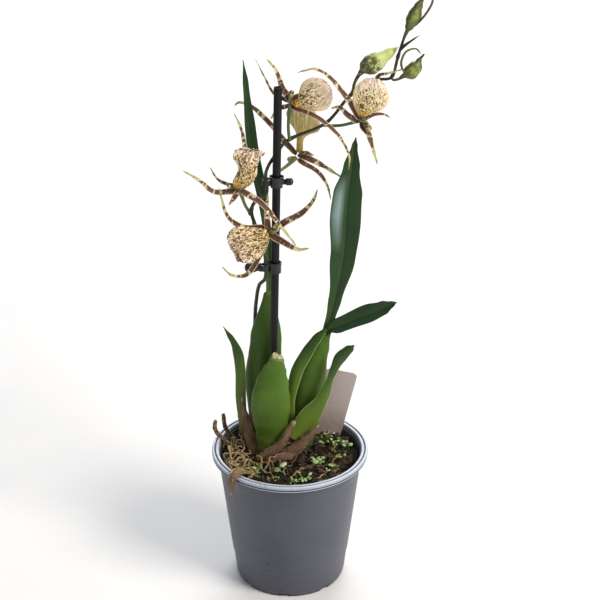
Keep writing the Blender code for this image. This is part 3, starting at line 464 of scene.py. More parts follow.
# Bark chips: pine bark broken to 3 to 9 mm and tipped in loose, so they lie at all angles.
chips, given = start_tree("bark chips", Spread=100000.0, Chip=0.0052, Smallest=0.35, Largest=1.5,
    Roughness=0.0016, Seed=7)
wide = add(chips, "ShaderNodeMath", {0: given["Chip"], 1: 0.62}, operation="MULTIPLY")
thick = add(chips, "ShaderNodeMath", {0: given["Chip"], 1: 0.3}, operation="MULTIPLY")
sides = add(chips, "ShaderNodeCombineXYZ", {"X": given["Chip"], "Y": wide, "Z": thick})
block = add(chips, "GeometryNodeMeshCube", {"Size": sides, "Vertices X": 4, "Vertices Y": 3})
strewn = scatter(chips, given, block, (given["Smallest"], given["Largest"]), (-0.6, -0.6, -3.1),
    (0.6, 0.6, 3.1), 3, 5, lie_flat=True)
loose = add(chips, "GeometryNodeRealizeInstances", {"Geometry": strewn})
broken = roughen(chips, loose, 420.0, 2.0, (0.5, 0.5, 0.5), given["Roughness"])
end_tree(chips, given, broken)


def bed_patch(name, centre, radius, rows=14, cols=40):
    """An open round patch that follows the top of the mix, for a tree to scatter on."""
    points = [on_mix((centre[0], centre[1], mix_top(*centre)))]
    faces = []
    for i in range(1, rows + 1):
        for k in range(cols):
            angle = 2 * math.pi * k / cols
            x = centre[0] + radius * i / rows * math.cos(angle)
            y = centre[1] + radius * i / rows * math.sin(angle)
            points.append(on_mix((x, y, mix_top(x, y))))
            n = (k + 1) % cols
            if i == 1:
                faces.append((0, 1 + k, 1 + n))
            else:
                inner, outer = 1 + (i - 2) * cols, 1 + (i - 1) * cols
                faces.append((inner + k, outer + k, outer + n, inner + n))
    mesh = bpy.data.meshes.new(name)
    mesh.from_pydata(points, [], faces)
    return mesh


# Pine bark: layered cork, dark brown with paler torn faces; each chip has its own tint.
bark, tree, shader = start_material("broken pine bark", 0.85, ior=1.4)
place = add(tree, "ShaderNodeTexCoord").outputs["Object"]
tint = add(tree, "ShaderNodeAttribute", attribute_name="tint").outputs["Fac"]
layer = add(tree, "ShaderNodeTexNoise", {"Vector": place, "Scale": 700.0, "Detail": 4.0})
mixed = add(tree, "ShaderNodeMath", {0: layer, 1: 0.5}, operation="MULTIPLY")
mixed = add(tree, "ShaderNodeMath", {0: tint, 1: 0.62, 2: mixed}, operation="MULTIPLY_ADD")
tone = add(tree, "ShaderNodeValToRGB", {"Fac": mixed}, stops=((0.25, "0C0907"), (0.55, "241A14"),
    (0.74, "3E2D22"), (0.88, "65503F"), (0.97, "9A826A")))
paint(shader, tone, layer, 0.7, 0.0006)
chip_mesh = grow("bark_chips", bed_patch("chip_bed", (0, 0), MIX_RADIUS - 3.5), chips, bark)
keep("bark_chips", chip_mesh, bark, "bark_mix")

# Dead fine roots in the mix: thin, wiry and curled, pale brown where they have dried.
fibres, given = start_tree("dead fine roots", Spread=26000.0, Length=0.011, Thickness=0.00032, Curl=0.011,
    Seed=11)
run = add(fibres, "ShaderNodeCombineXYZ", {"X": given["Length"]})
line = add(fibres, "GeometryNodeCurvePrimitiveLine", {"End": run})
points = add(fibres, "GeometryNodeResampleCurve", {"Curve": line, "Count": 14})
wire = add(fibres, "GeometryNodeCurvePrimitiveCircle", {"Resolution": 5, "Radius": given["Thickness"]})
thread = add(fibres, "GeometryNodeCurveToMesh", {"Curve": points, "Profile Curve": wire, "Fill Caps": True})
strewn = scatter(fibres, given, thread, (0.5, 1.5), (-0.2, -0.45, -3.1), (0.2, 0.15, 3.1), 3, 9)
loose = add(fibres, "GeometryNodeRealizeInstances", {"Geometry": strewn})
curled = roughen(fibres, loose, 150.0, 1.0, (0.5, 0.5, 0.42), given["Curl"])
end_tree(fibres, given, curled)
# Dried root: its cream outer layer has gone brown and papery round a wiry core.
dead_root, tree, shader = start_material("dried orchid root", 0.8, ior=1.4)
tint = add(tree, "ShaderNodeAttribute", attribute_name="tint").outputs["Fac"]
place = add(tree, "ShaderNodeTexCoord").outputs["Object"]
flake = add(tree, "ShaderNodeTexNoise", {"Vector": place, "Scale": 500.0, "Detail": 5.0, "Roughness": 0.7})
mixed = add(tree, "ShaderNodeMath", {0: flake, 1: 0.6}, operation="MULTIPLY")
mixed = add(tree, "ShaderNodeMath", {0: tint, 1: 0.5, 2: mixed}, operation="MULTIPLY_ADD")
tone = add(tree, "ShaderNodeValToRGB", {"Fac": mixed}, stops=((0.25, "2B2017"), (0.48, "5A4632"),
    (0.7, "8E7656"), (0.9, "B7A27C")))
paint(shader, tone, flake, 0.6, 0.0006)
fibre_mesh = grow("dead_fine_roots", bed_patch("fibre_bed", (0, 0), MIX_RADIUS - 7), fibres, dead_root)
keep("dead_fine_roots", fibre_mesh, dead_root, "root")

# Moss: short upright tufts in a few damp patches, thickest at the right of the pot.
moss_tree, given = start_tree("moss tufts", Spread=4000000.0, Height=0.0019, Width=0.00042, Seed=2)
leaflet = add(moss_tree, "GeometryNodeMeshCone", {"Vertices": 4, "Radius Bottom": given["Width"],
    "Depth": given["Height"]})
tufts = scatter(moss_tree, given, leaflet, (0.4, 1.3), (-0.9, -0.9, -3.1), (0.9, 0.9, 3.1), 4, 6)
end_tree(moss_tree, given, tufts)
# Moss leaf: thin and damp, olive to fresh green.
moss, tree, shader = start_material("cushion moss", 0.7, ior=1.4)
tint = add(tree, "ShaderNodeAttribute", attribute_name="tint").outputs["Fac"]
tone = add(tree, "ShaderNodeValToRGB", {"Fac": tint}, stops=((0.0, "1E2610"), (0.5, "3D4C1D"),
    (0.85, "64782E"), (1.0, "8CA046")))
paint(shader, tone)
MOSS_PATCHES = ((36, 4, 7.5), (27, 22, 6), (14, -27, 7), (-24, -30, 6), (41, 22, 5), (-2, -38, 5))
for number, (x, y, radius) in enumerate(MOSS_PATCHES):
    patch = bed_patch(f"moss_bed_{number}", (x, y), radius, 6, 16)
    moss_mesh = grow(f"moss_{number}", patch, moss_tree, moss, Seed=number)
    keep(f"moss_{number}", moss_mesh, moss, "leaf")

# Seedlings: bitter-cress and duckweed-like sprouts with round bright leaves on short stalks.
stem_tree, given = start_tree("round stem", Sides=8, Bumps=0.0, Bump_scale=300.0)
path = add(stem_tree, "GeometryNodeMeshToCurve", {"Mesh": given["Geometry"]})
thick = add(stem_tree, "GeometryNodeInputNamedAttribute", {"Name": "thick"}, data_type="FLOAT")
ring = add(stem_tree, "GeometryNodeCurvePrimitiveCircle", {"Resolution": given["Sides"], "Radius": 1.0})
tube = add(stem_tree, "GeometryNodeCurveToMesh", {"Curve": path, "Profile Curve": ring, "Scale": thick,
    "Fill Caps": True})
smooth = add(stem_tree, "GeometryNodeSetShadeSmooth", {"Geometry": tube})
lumpy = roughen(stem_tree, smooth, given["Bump scale"], 2.0, (0.5, 0.5, 0.5), given["Bumps"])
end_tree(stem_tree, given, lumpy)


def smooth_path(points, count):
    """Count + 1 places along a Catmull-Rom curve through the points, evenly spaced between them."""
    knots = [Vector(p) for p in points]
    knots.insert(0, 2 * knots[0] - knots[1])
    knots.append(2 * knots[-1] - knots[-2])
    spans = len(knots) - 3
    places = []
    for i in range(count + 1):
        position = i * spans / count
        span = min(int(position), spans - 1)
        t = position - span
        a, b, c, d = knots[span:span + 4]
        places.append(0.5 * (2 * b + (c - a) * t + (2 * a - 5 * b + 4 * c - d) * t ** 2
            + (3 * b - a - 3 * c + d) * t ** 3))
    return places


def read_profile(profile, t):
    """Value at t of a profile of (place, value) pairs, eased between them."""
    for (t0, v0), (t1, v1) in zip(profile, profile[1:]):
        if t <= t1:
            s = (t - t0) / (t1 - t0)
            return v0 + (v1 - v0) * s * s * (3 - 2 * s)
    return profile[-1][1]


def threads(name, runs, count=40):
    """Open lines for the round stem tree. Each run is its points and its (place, diameter) pairs, in mm."""
    points, edges, thick, share, far, tints = [], [], [], [], [], []
    for number, (path, diameters) in enumerate(runs):
        first = len(points)
        done = 0.0
        for i, spot in enumerate(smooth_path([on_mix(p) for p in path], count)):
            if i:
                edges.append((first + i - 1, first + i))
                done += (spot - points[-1]).length / MM
            points.append(spot)
            thick.append(read_profile(diameters, i / count) / 2 * MM)
            share.append(i / count)
            far.append(done)
            tints.append(number * 0.618 % 1)
    mesh = bpy.data.meshes.new(name)
    mesh.from_pydata(points, edges, [])
    for key, values in (("thick", thick), ("along", share), ("far_mm", far), ("tint", tints)):
        mesh.attributes.new(key, "FLOAT", "POINT").data.foreach_set("value", values)
    return mesh


sprout_tree, given = start_tree("seedling leaves", Leaf=0.0016, Flatness=0.28)
ball = add(sprout_tree, "GeometryNodeMeshUVSphere", {"Segments": 10, "Rings": 6, "Radius": given["Leaf"]})
flat = add(sprout_tree, "ShaderNodeCombineXYZ", {"X": 1.0, "Y": 0.82, "Z": given["Flatness"]})
leaf = add(sprout_tree, "GeometryNodeTransform", {"Geometry": ball, "Scale": flat})
size = add(sprout_tree, "GeometryNodeInputNamedAttribute", {"Name": "size"}, data_type="FLOAT")
laid = add(sprout_tree, "GeometryNodeInstanceOnPoints", {"Points": given["Geometry"], "Instance": leaf,
    "Scale": size})
tinted = tip_and_tint(sprout_tree, laid, (-0.55, -0.3, -3.1), (0.95, 0.3, 3.1), 8, 1)
soft = add(sprout_tree, "GeometryNodeSetShadeSmooth", {"Geometry": tinted})
end_tree(sprout_tree, given, soft)
# Seedling leaf: thin, juicy and light green, paler on its stalk.
sprout, tree, shader = start_material("young cress leaf", 0.45, ior=1.42, Subsurface_Weight=0.15,
    Subsurface_Scale=0.001)
tint = add(tree, "ShaderNodeAttribute", attribute_name="tint").outputs["Fac"]
tone = add(tree, "ShaderNodeValToRGB", {"Fac": tint}, stops=((0.0, "6E9448"), (0.4, "93B868"),
    (0.8, "B9D596"), (1.0, "DEEBC6")))
paint(shader, tone)
# Each clump: x, y, spread, number of leaves, height above the mix, leaf size.
CLUMPS = ((-25, -25, 5.0, 13, 3, 0.9), (21, -13, 5.0, 14, 4, 1.0), (12, -35, 6.0, 12, 3, 0.8),
    (33, -21, 4.0, 7, 4, 0.8), (39, -8, 3.5, 6, 4, 0.75), (44, 12, 5.0, 10, 4, 0.75),
    (38, 36, 2.0, 3, 4, 1.1), (24, 16, 2.5, 4, 3, 0.8), (-12, -37, 5.0, 7, 3, 0.7),
    (27, -26, 3.0, 5, 3, 0.6), (2, -40, 4.0, 6, 2, 0.7), (35, 16, 6.0, 12, 3, 0.75),
    (30, 29, 5.0, 8, 3, 0.7))
chance = random.Random(21)
tips, sizes, stalks = [], [], []
for x, y, spread, count, rise, scale in CLUMPS:
    for k in range(count):
        angle = chance.uniform(0, 2 * math.pi)
        reach = spread * math.sqrt(chance.random())
        leaf_x, leaf_y = x + reach * math.cos(angle), y + reach * math.sin(angle)
        ground = mix_top(x + 0.3 * reach * math.cos(angle), y + 0.3 * reach * math.sin(angle))
        top = mix_top(leaf_x, leaf_y) + rise * chance.uniform(0.5, 1.3)
        tips.append((leaf_x, leaf_y, top))
        sizes.append(scale * chance.uniform(0.75, 1.5))
        stalks.append((((x + 0.3 * (leaf_x - x), y + 0.3 * (leaf_y - y), ground - 0.5),
            (x + 0.8 * (leaf_x - x), y + 0.8 * (leaf_y - y), ground + 0.7 * (top - ground)),
            (leaf_x, leaf_y, top)), ((0, 0.5), (1, 0.4))))
for tall_x, tall_y, tall_z in ((-5, -26, 7), (-9.5, -29, 4.5)):      # the two round leaves by the front bulb
    tips.append((tall_x, tall_y, tall_z))
    sizes.append(2.1)
    stalks.append((((-3, -33, mix_top(-3, -33)), (-4, -31, 2.5), (tall_x, tall_y, tall_z)),
        ((0, 0.7), (1, 0.5))))
seeds = bpy.data.meshes.new("seedling_points")
seeds.from_pydata([on_mix(p) for p in tips], [], [])
seeds.attributes.new("size", "FLOAT", "POINT").data.foreach_set("value", sizes)
keep("seedling_leaves", grow("seedling_leaves", seeds, sprout_tree, sprout), sprout, "leaf")
stalk_mesh = grow("seedling_stalks", threads("seedling_paths", stalks, 5), stem_tree, sprout, Sides=5)
keep("seedling_stalks", stalk_mesh, sprout, "leaf")

# ---------------------------------------------------------------- stake
# A straight black plastic stake, an extruded tube pushed deep into the mix, cut square and left open at
# the top. It leans a little to the right and holds the spike up.
STAKE_FOOT = Vector((-14, 14, 0))
STAKE_TOP = Vector((-7.5, 14, 286))
STAKE_MM = 6.0
STAKE_BURIED = 60.0
stake_run = (STAKE_TOP - STAKE_FOOT).normalized()
stake_place = Matrix.Translation(on_mix(STAKE_FOOT - stake_run * STAKE_BURIED)) @ \
    stake_run.to_track_quat("Z", "Y").to_matrix().to_4x4()
stake_long = (STAKE_TOP - STAKE_FOOT).length + STAKE_BURIED
STAKE_PROFILE = ((0, 0.3, 0), (STAKE_MM / 2 - 0.6, 0, 0.3), (STAKE_MM / 2, 1.0, 0.3),
    (STAKE_MM / 2, stake_long - 5, 1), (STAKE_MM / 2 + 0.12, stake_long, 0.25),
    (STAKE_MM / 2 - 0.95, stake_long, 0.25), (STAKE_MM / 2 - 1.1, stake_long - 7, 0.3),
    (0, stake_long - 7, 0),)


def stake_at(level):
    """Point of the stake's axis at a level above the mix, in mm."""
    return STAKE_FOOT + (STAKE_TOP - STAKE_FOOT) * (level / STAKE_TOP.z)


# Polythene tube, extruded in black: fine lines along it from the die, and a low satin shine.
stake_plastic, tree, shader = start_material("extruded black polythene", 0.5, ior=1.5,
    Specular_IOR_Level=0.3)
place = add(tree, "ShaderNodeTexCoord").outputs["Object"]
drawn = add(tree, "ShaderNodeMapping", {"Vector": place, "Scale": (1.0, 1.0, 0.012)})
lines = add(tree, "ShaderNodeTexNoise", {"Vector": drawn, "Scale": 2600.0, "Detail": 3.0})
scuff = add(tree, "ShaderNodeTexNoise", {"Vector": place, "Scale": 120.0, "Detail": 6.0, "Roughness": 0.7})
tone = add(tree, "ShaderNodeValToRGB", {"Fac": scuff}, stops=((0.35, "08080A"), (0.62, "0F0F11"),
    (0.75, "1E1E21")))
gloss = add(tree, "ShaderNodeMapRange", {"Value": scuff, "To Min": 0.42, "To Max": 0.65})
feed(shader, {"Roughness": gloss})
paint(shader, tone, lines, 0.25, 0.0002)
stake_mesh = loft("stake_tube", turn_about(rounded(STAKE_PROFILE), 40, stake_place), sharp=40)
keep("stake_tube", stake_mesh, stake_plastic, "stake_plastic", "stake")

# ---------------------------------------------------------------- clips
# Two black snap clips hold the spike to the stake. Each is one moulding: a funnel-lipped collar sprung on
# to the stake, an open loop for the spike, and a ribbed thumb tab to squeeze.
CLIP_WALL = 1.2
CLIP_FIT = 0.35
LOOP_FIT = 1.25
SPIKE_MM = 2.8
UPPER_CLIP = 217.0
LOWER_CLIP = 151.0
COLLAR_BORE = STAKE_MM / 2 + CLIP_FIT
LOOP_BORE = SPIKE_MM / 2 + LOOP_FIT
BESIDE = COLLAR_BORE + CLIP_WALL + LOOP_BORE
upper_hold = stake_at(UPPER_CLIP) - Vector((BESIDE, 0, 0))
lower_hold = stake_at(LOWER_CLIP) - Vector((BESIDE, 0, 0))


def clip_ring(name, centre, bore, profile, opening, facing):
    """A ring with a gap: an outline of (reach, height) swept round, leaving an opening in degrees."""
    place = Matrix.Translation(on_mix(centre)) @ stake_run.to_track_quat("Z", "Y").to_matrix().to_4x4()
    rings = []
    for k in range(49):
        angle = math.radians(facing + opening / 2 + (360 - opening) * k / 48)
        ring = []
        for reach, height in profile:
            radius = bore + reach
            ring.append(place @ (Vector((radius * math.cos(angle), radius * math.sin(angle), height)) * MM))
        rings.append(ring)
    return loft(name, rings, sharp=40)


def join(name, meshes):
    """One mesh that holds the shells of several."""
    whole = bmesh.new()
    for mesh in meshes:
        whole.from_mesh(mesh)
    joined = bpy.data.meshes.new(name)
    whole.to_mesh(joined)
    whole.free()
    return joined


def thumb_tab(name, start, end, fat):
    """A round-ended tab with three grip grooves."""
    place = Matrix.Translation(on_mix(start)) @ (end - start).to_track_quat("Z", "Y").to_matrix().to_4x4()
    long = (end - start).length
    profile = [(0.05, -0.2)]
    for k in range(41):
        t = k / 40
        groove = 0.16 * max(0.0, math.sin(t * long * 2.6)) if 0.35 < t < 0.9 else 0.0
        waist = 1 - 0.3 * math.exp(-((t - 0.2) / 0.16) ** 2)
        cap = math.sqrt(max(0.0, 1 - max(0.0, (t * long - long + fat * 0.45) / (fat * 0.45)) ** 2))
        profile.append((max(0.05, fat / 2 * waist * cap - groove), t * long))
    return loft(name, turn_about(profile, 28, place))


def snap_clip(name, level, hold, tab_from, tab_to, funnel, tab_fat, stands_for):
    collar = ((0.05, -4), (CLIP_WALL, -3.8), (CLIP_WALL, 1.2), (CLIP_WALL + funnel, 3.6),
        (CLIP_WALL + funnel, 4.2), (CLIP_WALL + funnel - 0.7, 4.2), (0.2, 1.6), (0.05, 0))
    loop = ((0, -2.4), (CLIP_WALL, -2.2), (CLIP_WALL + 0.15, 0), (CLIP_WALL, 2.2), (0, 2.4), (0.1, 0))
    meshes = [clip_ring(name + "_collar", stake_at(level), COLLAR_BORE, collar, 40, 95),
        clip_ring(name + "_loop", hold, LOOP_BORE, loop, 35, 100), thumb_tab(name + "_tab", tab_from,
        tab_to, tab_fat)]
    keep(name, join(name, meshes), clip_plastic, "clip_plastic", stands_for)


# Nylon, moulded in black: a fine matt texture with polished lips that catch the light.
clip_plastic, tree, shader = start_material("moulded black nylon", 0.38, ior=1.53)
place = add(tree, "ShaderNodeTexCoord").outputs["Object"]
wear = add(tree, "ShaderNodeTexNoise", {"Vector": place, "Scale": 240.0, "Detail": 5.0, "Roughness": 0.7})
tone = add(tree, "ShaderNodeValToRGB", {"Fac": wear}, stops=((0.35, "0C0D0F"), (0.6, "141518"),
    (0.72, "26272B")))
grain = add(tree, "ShaderNodeTexNoise", {"Vector": place, "Scale": 1800.0, "Detail": 2.0})
paint(shader, tone, grain, 0.15, 0.0002)
right_tab = stake_at(UPPER_CLIP) + Vector((COLLAR_BORE + 0.6, 0, 0))
snap_clip("snap_clip_upper", UPPER_CLIP, upper_hold, right_tab, right_tab + Vector((8.2, -1.2, 0.6)), 0.9,
    5.4, "clip_upper")
left_tab = lower_hold - Vector((LOOP_BORE + 0.6, 0, 0))
snap_clip("snap_clip_lower", LOWER_CLIP, lower_hold, left_tab, left_tab + Vector((-12, -1.2, 0)), 0.3, 7.6,
    "clip_lower")

# ---------------------------------------------------------------- plant label
# A blank nursery label, die cut from thin white card stock with a plastic face, round at the corners and
# pushed into the mix behind the right growth. It has taken a slight bow.
LABEL_MM = (25.0, 78.0, 0.8)
LABEL_CORNER = 3.0
LABEL_BURIED = 20.0
LABEL_TILT = math.radians(13)
LABEL_FOOT = Vector((28, 33, 0)).normalized() * (MIX_RADIUS - 10.5)
label_place = Matrix.Translation(on_mix(LABEL_FOOT)) @ Matrix.Rotation(LABEL_TILT, 4, "Y")
label_rings = []
for i in range(41):
    up = LABEL_MM[1] * i / 40
    from_end = min(up, LABEL_MM[1] - up)
    inset = 0.0
    if from_end < LABEL_CORNER:
        inset = LABEL_CORNER - math.sqrt(max(0.0, LABEL_CORNER ** 2 - (LABEL_CORNER - from_end) ** 2))
    half = LABEL_MM[0] / 2 - inset
    ring = []
    for k in range(21):
        x = half * (2 * k / 20 - 1)
        bow = 0.5 * (x / 12.5) ** 2 - 0.9 * (up / LABEL_MM[1]) ** 2
        ring.append(Vector((x, bow - LABEL_MM[2] * 0.35, up - LABEL_BURIED)))
    back = [p + Vector((0, LABEL_MM[2] * 0.7, 0)) for p in reversed(ring)]
    label_rings.append([label_place @ (p * MM) for p in ring + back])
# Coated card: off-white gone pinkish grey, faintly fibrous, with damp stains creeping up from the mix.
card, tree, shader = start_material("coated label card", 0.5, ior=1.48)
place = add(tree, "ShaderNodeTexCoord").outputs["Object"]
fibre = add(tree, "ShaderNodeTexNoise", {"Vector": place, "Scale": 500.0, "Detail": 4.0, "Roughness": 0.7})
tone = add(tree, "ShaderNodeValToRGB", {"Fac": fibre}, stops=((0.3, "B5A5A4"), (0.7, "C1B1AF")))
height = add(tree, "ShaderNodeSeparateXYZ", {"Vector": place}).outputs["Z"]
wet = add(tree, "ShaderNodeTexNoise", {"Vector": place, "Scale": 110.0, "Detail": 6.0, "Roughness": 0.7})
line = add(tree, "ShaderNodeMapRange", {"Value": height, "From Min": 0.098, "From Max": 0.128,
    "To Min": 0.9, "To Max": 0.0})
soak = add(tree, "ShaderNodeMath", {0: line, 1: wet}, operation="MULTIPLY")
stained = add(tree, "ShaderNodeMix", {0: soak, 6: tone, 7: colour("5F5046")}, data_type="RGBA")
splash = add(tree, "ShaderNodeTexVoronoi", {"Vector": place, "Scale": 210.0})
dot = add(tree, "ShaderNodeMapRange", {"Value": splash, "From Min": 0.1, "From Max": 0.16, "To Min": 0.7,
    "To Max": 0.0})
low = add(tree, "ShaderNodeMapRange", {"Value": height, "From Min": 0.1, "From Max": 0.14, "To Min": 0.9,
    "To Max": 0.05})
few = add(tree, "ShaderNodeMath", {0: splash.outputs["Color"], 1: low}, operation="LESS_THAN")
dots = add(tree, "ShaderNodeMath", {0: dot, 1: few}, operation="MULTIPLY")
spotted = add(tree, "ShaderNodeMix", {0: dots, 6: stained, 7: colour("4A3D33")}, data_type="RGBA")
paint(shader, spotted, fibre, 0.15, 0.0003)
keep("label_card", loft("label_card", label_rings, sharp=50), card, "label_card", "plant_label")

# ---------------------------------------------------------------- pseudobulbs
# Swollen, flattened storage stems, side by side on the mix: the leafless front one ends in a torn stub,
# the tall back one carries the tall left leaf, and the right one is this year's growth.
VIEWER = Vector((0, -1, 0.5))
BULB_X = -15.0
BULB_WIDTH = 30.0
BULB_DEPTH = 17.0


def frames_along(places, facing):
    """Tangent, side and normal at each place, with the normal kept as near the facing as it can be."""
    frames = []
    for i in range(len(places)):
        tangent = (places[min(i + 1, len(places) - 1)] - places[max(i - 1, 0)]).normalized()
        wanted = facing[0].lerp(facing[1], i / (len(places) - 1))
        side = tangent.cross(wanted).normalized()
        frames.append((tangent, side, side.cross(tangent)))
    return frames


def pod(name, points, widths, depth_share=1.0, facing=VIEWER, ribs=0, rib_depth=0.0, lumps=0.0, around=64,
        along=90, round_end=0.03):
    """A bulb, bud or column: a round section drawn along a curve, with its width set along the way, in mm.

    Its marks are "share", round and along from 0 to 1, and "lay_mm", the same in mm.
    """
    places = smooth_path([on_mix(p) for p in points], along)
    rings, share, lay = [], [], []
    done = 0.0
    for i, (_, side, normal) in enumerate(frames_along(places, (Vector(facing), Vector(facing)))):
        t = i / along
        done += (places[i] - places[max(i - 1, 0)]).length / MM
        near_end = min(t, 1 - t) / round_end
        half = read_profile(widths, t) / 2 * math.sqrt(max(0.02, 1 - max(0.0, 1 - near_end) ** 2))
        ring, ring_share, ring_lay = [], [], []
        for k in range(around):
            angle = 2 * math.pi * k / around
            radius = half * (1 + rib_depth * math.cos(ribs * angle) * math.sin(math.pi * t))
            radius += lumps * noise.noise(places[i] / MM / 7 + Vector((math.cos(angle), math.sin(angle),
                0)) * 1.5)
            reach = side * (radius * math.cos(angle)) + normal * (radius * depth_share * math.sin(angle))
            ring.append(places[i] + reach * MM)
            ring_share.append((k / around, t, 0))
            ring_lay.append((half * 2 * math.pi * k / around, done, 0))
        rings.append(ring)
        share.append(ring_share)
        lay.append(ring_lay)
    return loft(name, rings, {"share": share, "lay_mm": lay})


def store_painted_shade_and_sheen(mesh, shade):
    """Store a value from 0 to 1 over a whole mesh: painted shade on a bulb, painted sheen on a leaf."""
    layer = mesh.attributes.new("shade", "FLOAT", "POINT")
    layer.data.foreach_set("value", [shade] * len(mesh.vertices))
    return mesh


# Live bulb skin: smooth waxy green, yellower low down, with fine pale veins and a few brown specks where it
# was knocked. Painted shade darkens the bulbs further back, by a value stored on each bulb.
bulb_skin, tree, shader = start_material("waxy green bulb skin", 0.45, ior=1.44, Subsurface_Weight=0.08,
    Subsurface_Scale=0.002, Specular_IOR_Level=0.35)
place = add(tree, "ShaderNodeTexCoord").outputs["Object"]
share = add(tree, "ShaderNodeAttribute", attribute_name="share").outputs["Vector"]
along = add(tree, "ShaderNodeSeparateXYZ", {"Vector": share}).outputs["Y"]
fall = add(tree, "ShaderNodeValToRGB", {"Fac": along}, stops=((0.0, "5E6B30"), (0.2, "50661F"),
    (0.5, "4F6D1E"), (0.85, "51741F"), (0.97, "5A7A28"), (1.0, "8C9A58")))
# Painted shade: the stored value darkens the green of the bulbs further back.
shade = add(tree, "ShaderNodeAttribute", attribute_name="shade").outputs["Fac"]
fall = add(tree, "ShaderNodeMix", {0: shade, 6: fall, 7: colour("2C4A10")}, data_type="RGBA")
cloud = add(tree, "ShaderNodeTexNoise", {"Vector": place, "Scale": 45.0, "Detail": 3.0})
clouded = stain(tree, fall, colour("3A5716"), cloud, 0.45, 0.7, 0.45)
veins_at = add(tree, "ShaderNodeMapping", {"Vector": place, "Scale": (1.0, 1.0, 0.06)})
veins = add(tree, "ShaderNodeTexNoise", {"Vector": veins_at, "Scale": 900.0, "Detail": 2.0})
veined = stain(tree, clouded, colour("7C9C3C"), veins, 0.5, 0.75, 0.12)
knocks = add(tree, "ShaderNodeTexVoronoi", {"Vector": place, "Scale": 130.0})
spot = add(tree, "ShaderNodeMapRange", {"Value": knocks, "From Min": 0.05, "From Max": 0.1, "To Min": 0.8,
    "To Max": 0.0})
few = add(tree, "ShaderNodeMath", {0: knocks.outputs["Color"], 1: 0.8}, operation="GREATER_THAN")
specks = add(tree, "ShaderNodeMath", {0: spot, 1: few}, operation="MULTIPLY")
speckled = add(tree, "ShaderNodeMix", {0: specks, 6: veined, 7: colour("2E3A12")}, data_type="RGBA")
paint(shader, speckled, veins, 0.1, 0.0003)

# Each bulb stores how much painted shade its skin gets: none at the front, most on the back bulb.
front_bulb = pod("bulb_front", ((BULB_X - 4, -2, -0.5), (BULB_X - 0.2, -2, 28.5), (BULB_X + 1.2, -2, 57),
    (BULB_X + 6, -2, 85.5)), ((0, 9), (0.1, 14), (0.2, 19), (0.36, 26.8), (0.5, 29.8), (0.6, 29),
    (0.75, 24.6), (0.88, 17.4), (0.93, 13.4), (0.955, 11.2), (0.965, 11.4), (1, 9.8)),
    depth_share=BULB_DEPTH / BULB_WIDTH, ribs=2, rib_depth=0.01, lumps=0.15, round_end=0.004)
keep("bulb_front", store_painted_shade_and_sheen(front_bulb, 0.0), bulb_skin, "bulb_flesh", "pseudobulb_front")
back_bulb = pod("bulb_back", ((-21.5, 26, -0.5), (-20, 26, 60), (-15.5, 26, 127)),
    ((0, 14), (0.15, 23), (0.45, 29), (0.7, 24), (1, 8)), depth_share=0.53, ribs=3, rib_depth=0.012,
    lumps=0.2)
keep("bulb_back", store_painted_shade_and_sheen(back_bulb, 0.6), bulb_skin, "bulb_flesh", "pseudobulb_back")
right_bulb = pod("bulb_right", ((11, 12, -0.5), (14, 12, 45), (20.5, 12, 78), (27.5, 12, 100)),
    ((0, 12), (0.2, 20), (0.45, 21.5), (0.75, 14.5), (1, 7.5)), depth_share=0.6, ribs=3, rib_depth=0.012,
    lumps=0.2)
keep("bulb_right", store_painted_shade_and_sheen(right_bulb, 0.15), bulb_skin, "bulb_flesh", "pseudobulb_right")

# The torn stub on the front bulb, where its leaf fell: a low ragged crown of dried fibre.
stub_rings = []
stub_centre = on_mix((BULB_X + 6, -2, 84.9))
for reach, low, high in ((4.2, 0.0, 0.0), (4.4, 0.6, 0.3), (4.3, 0.9, 2.0), (4.0, 0.9, 2.4), (3.4, 0.5, 0.6),
                         (1.2, 0.5, 0.2), (0.1, 0.5, 0.0)):
    ring = []
    for k in range(48):
        angle = 2 * math.pi * k / 48
        out = Vector((math.cos(angle), math.sin(angle) * 0.7, 0))
        tear = 0.35 - 0.5 * math.cos(angle) + 0.6 * noise.fractal(out * 2.6 + Vector((9, 2, 5)), 0.7, 2.2,
            4)
        ring.append(stub_centre + (out * reach + Vector((0, 0, low + high * max(0.0,
            min(1.2, tear))))) * MM)
    stub_rings.append(ring)
# Dried fibre: cream where it tore, brown at its ends.
dry_fibre, tree, shader = start_material("torn dry fibre", 0.85, ior=1.4)
place = add(tree, "ShaderNodeTexCoord").outputs["Object"]
streak_at = add(tree, "ShaderNodeMapping", {"Vector": place, "Scale": (1.0, 1.0, 0.3)})
streak = add(tree, "ShaderNodeTexNoise", {"Vector": streak_at, "Scale": 700.0, "Detail": 4.0})
tone = add(tree, "ShaderNodeValToRGB", {"Fac": streak}, stops=((0.3, "5F5A30"), (0.45, "A89F68"),
    (0.6, "E0D6B4"), (0.72, "A68C5C")))
paint(shader, tone, streak, 0.8, 0.0006)
keep("bulb_stub", loft("bulb_stub", stub_rings), dry_fibre, "dry_sheath")

# ---------------------------------------------------------------- leaves
# Strap leaves, each folded along its midrib where it leaves the bulb and opening to a thin leathery blade:
# three dark grown ones, and three short ones at the foot that are still bright green.


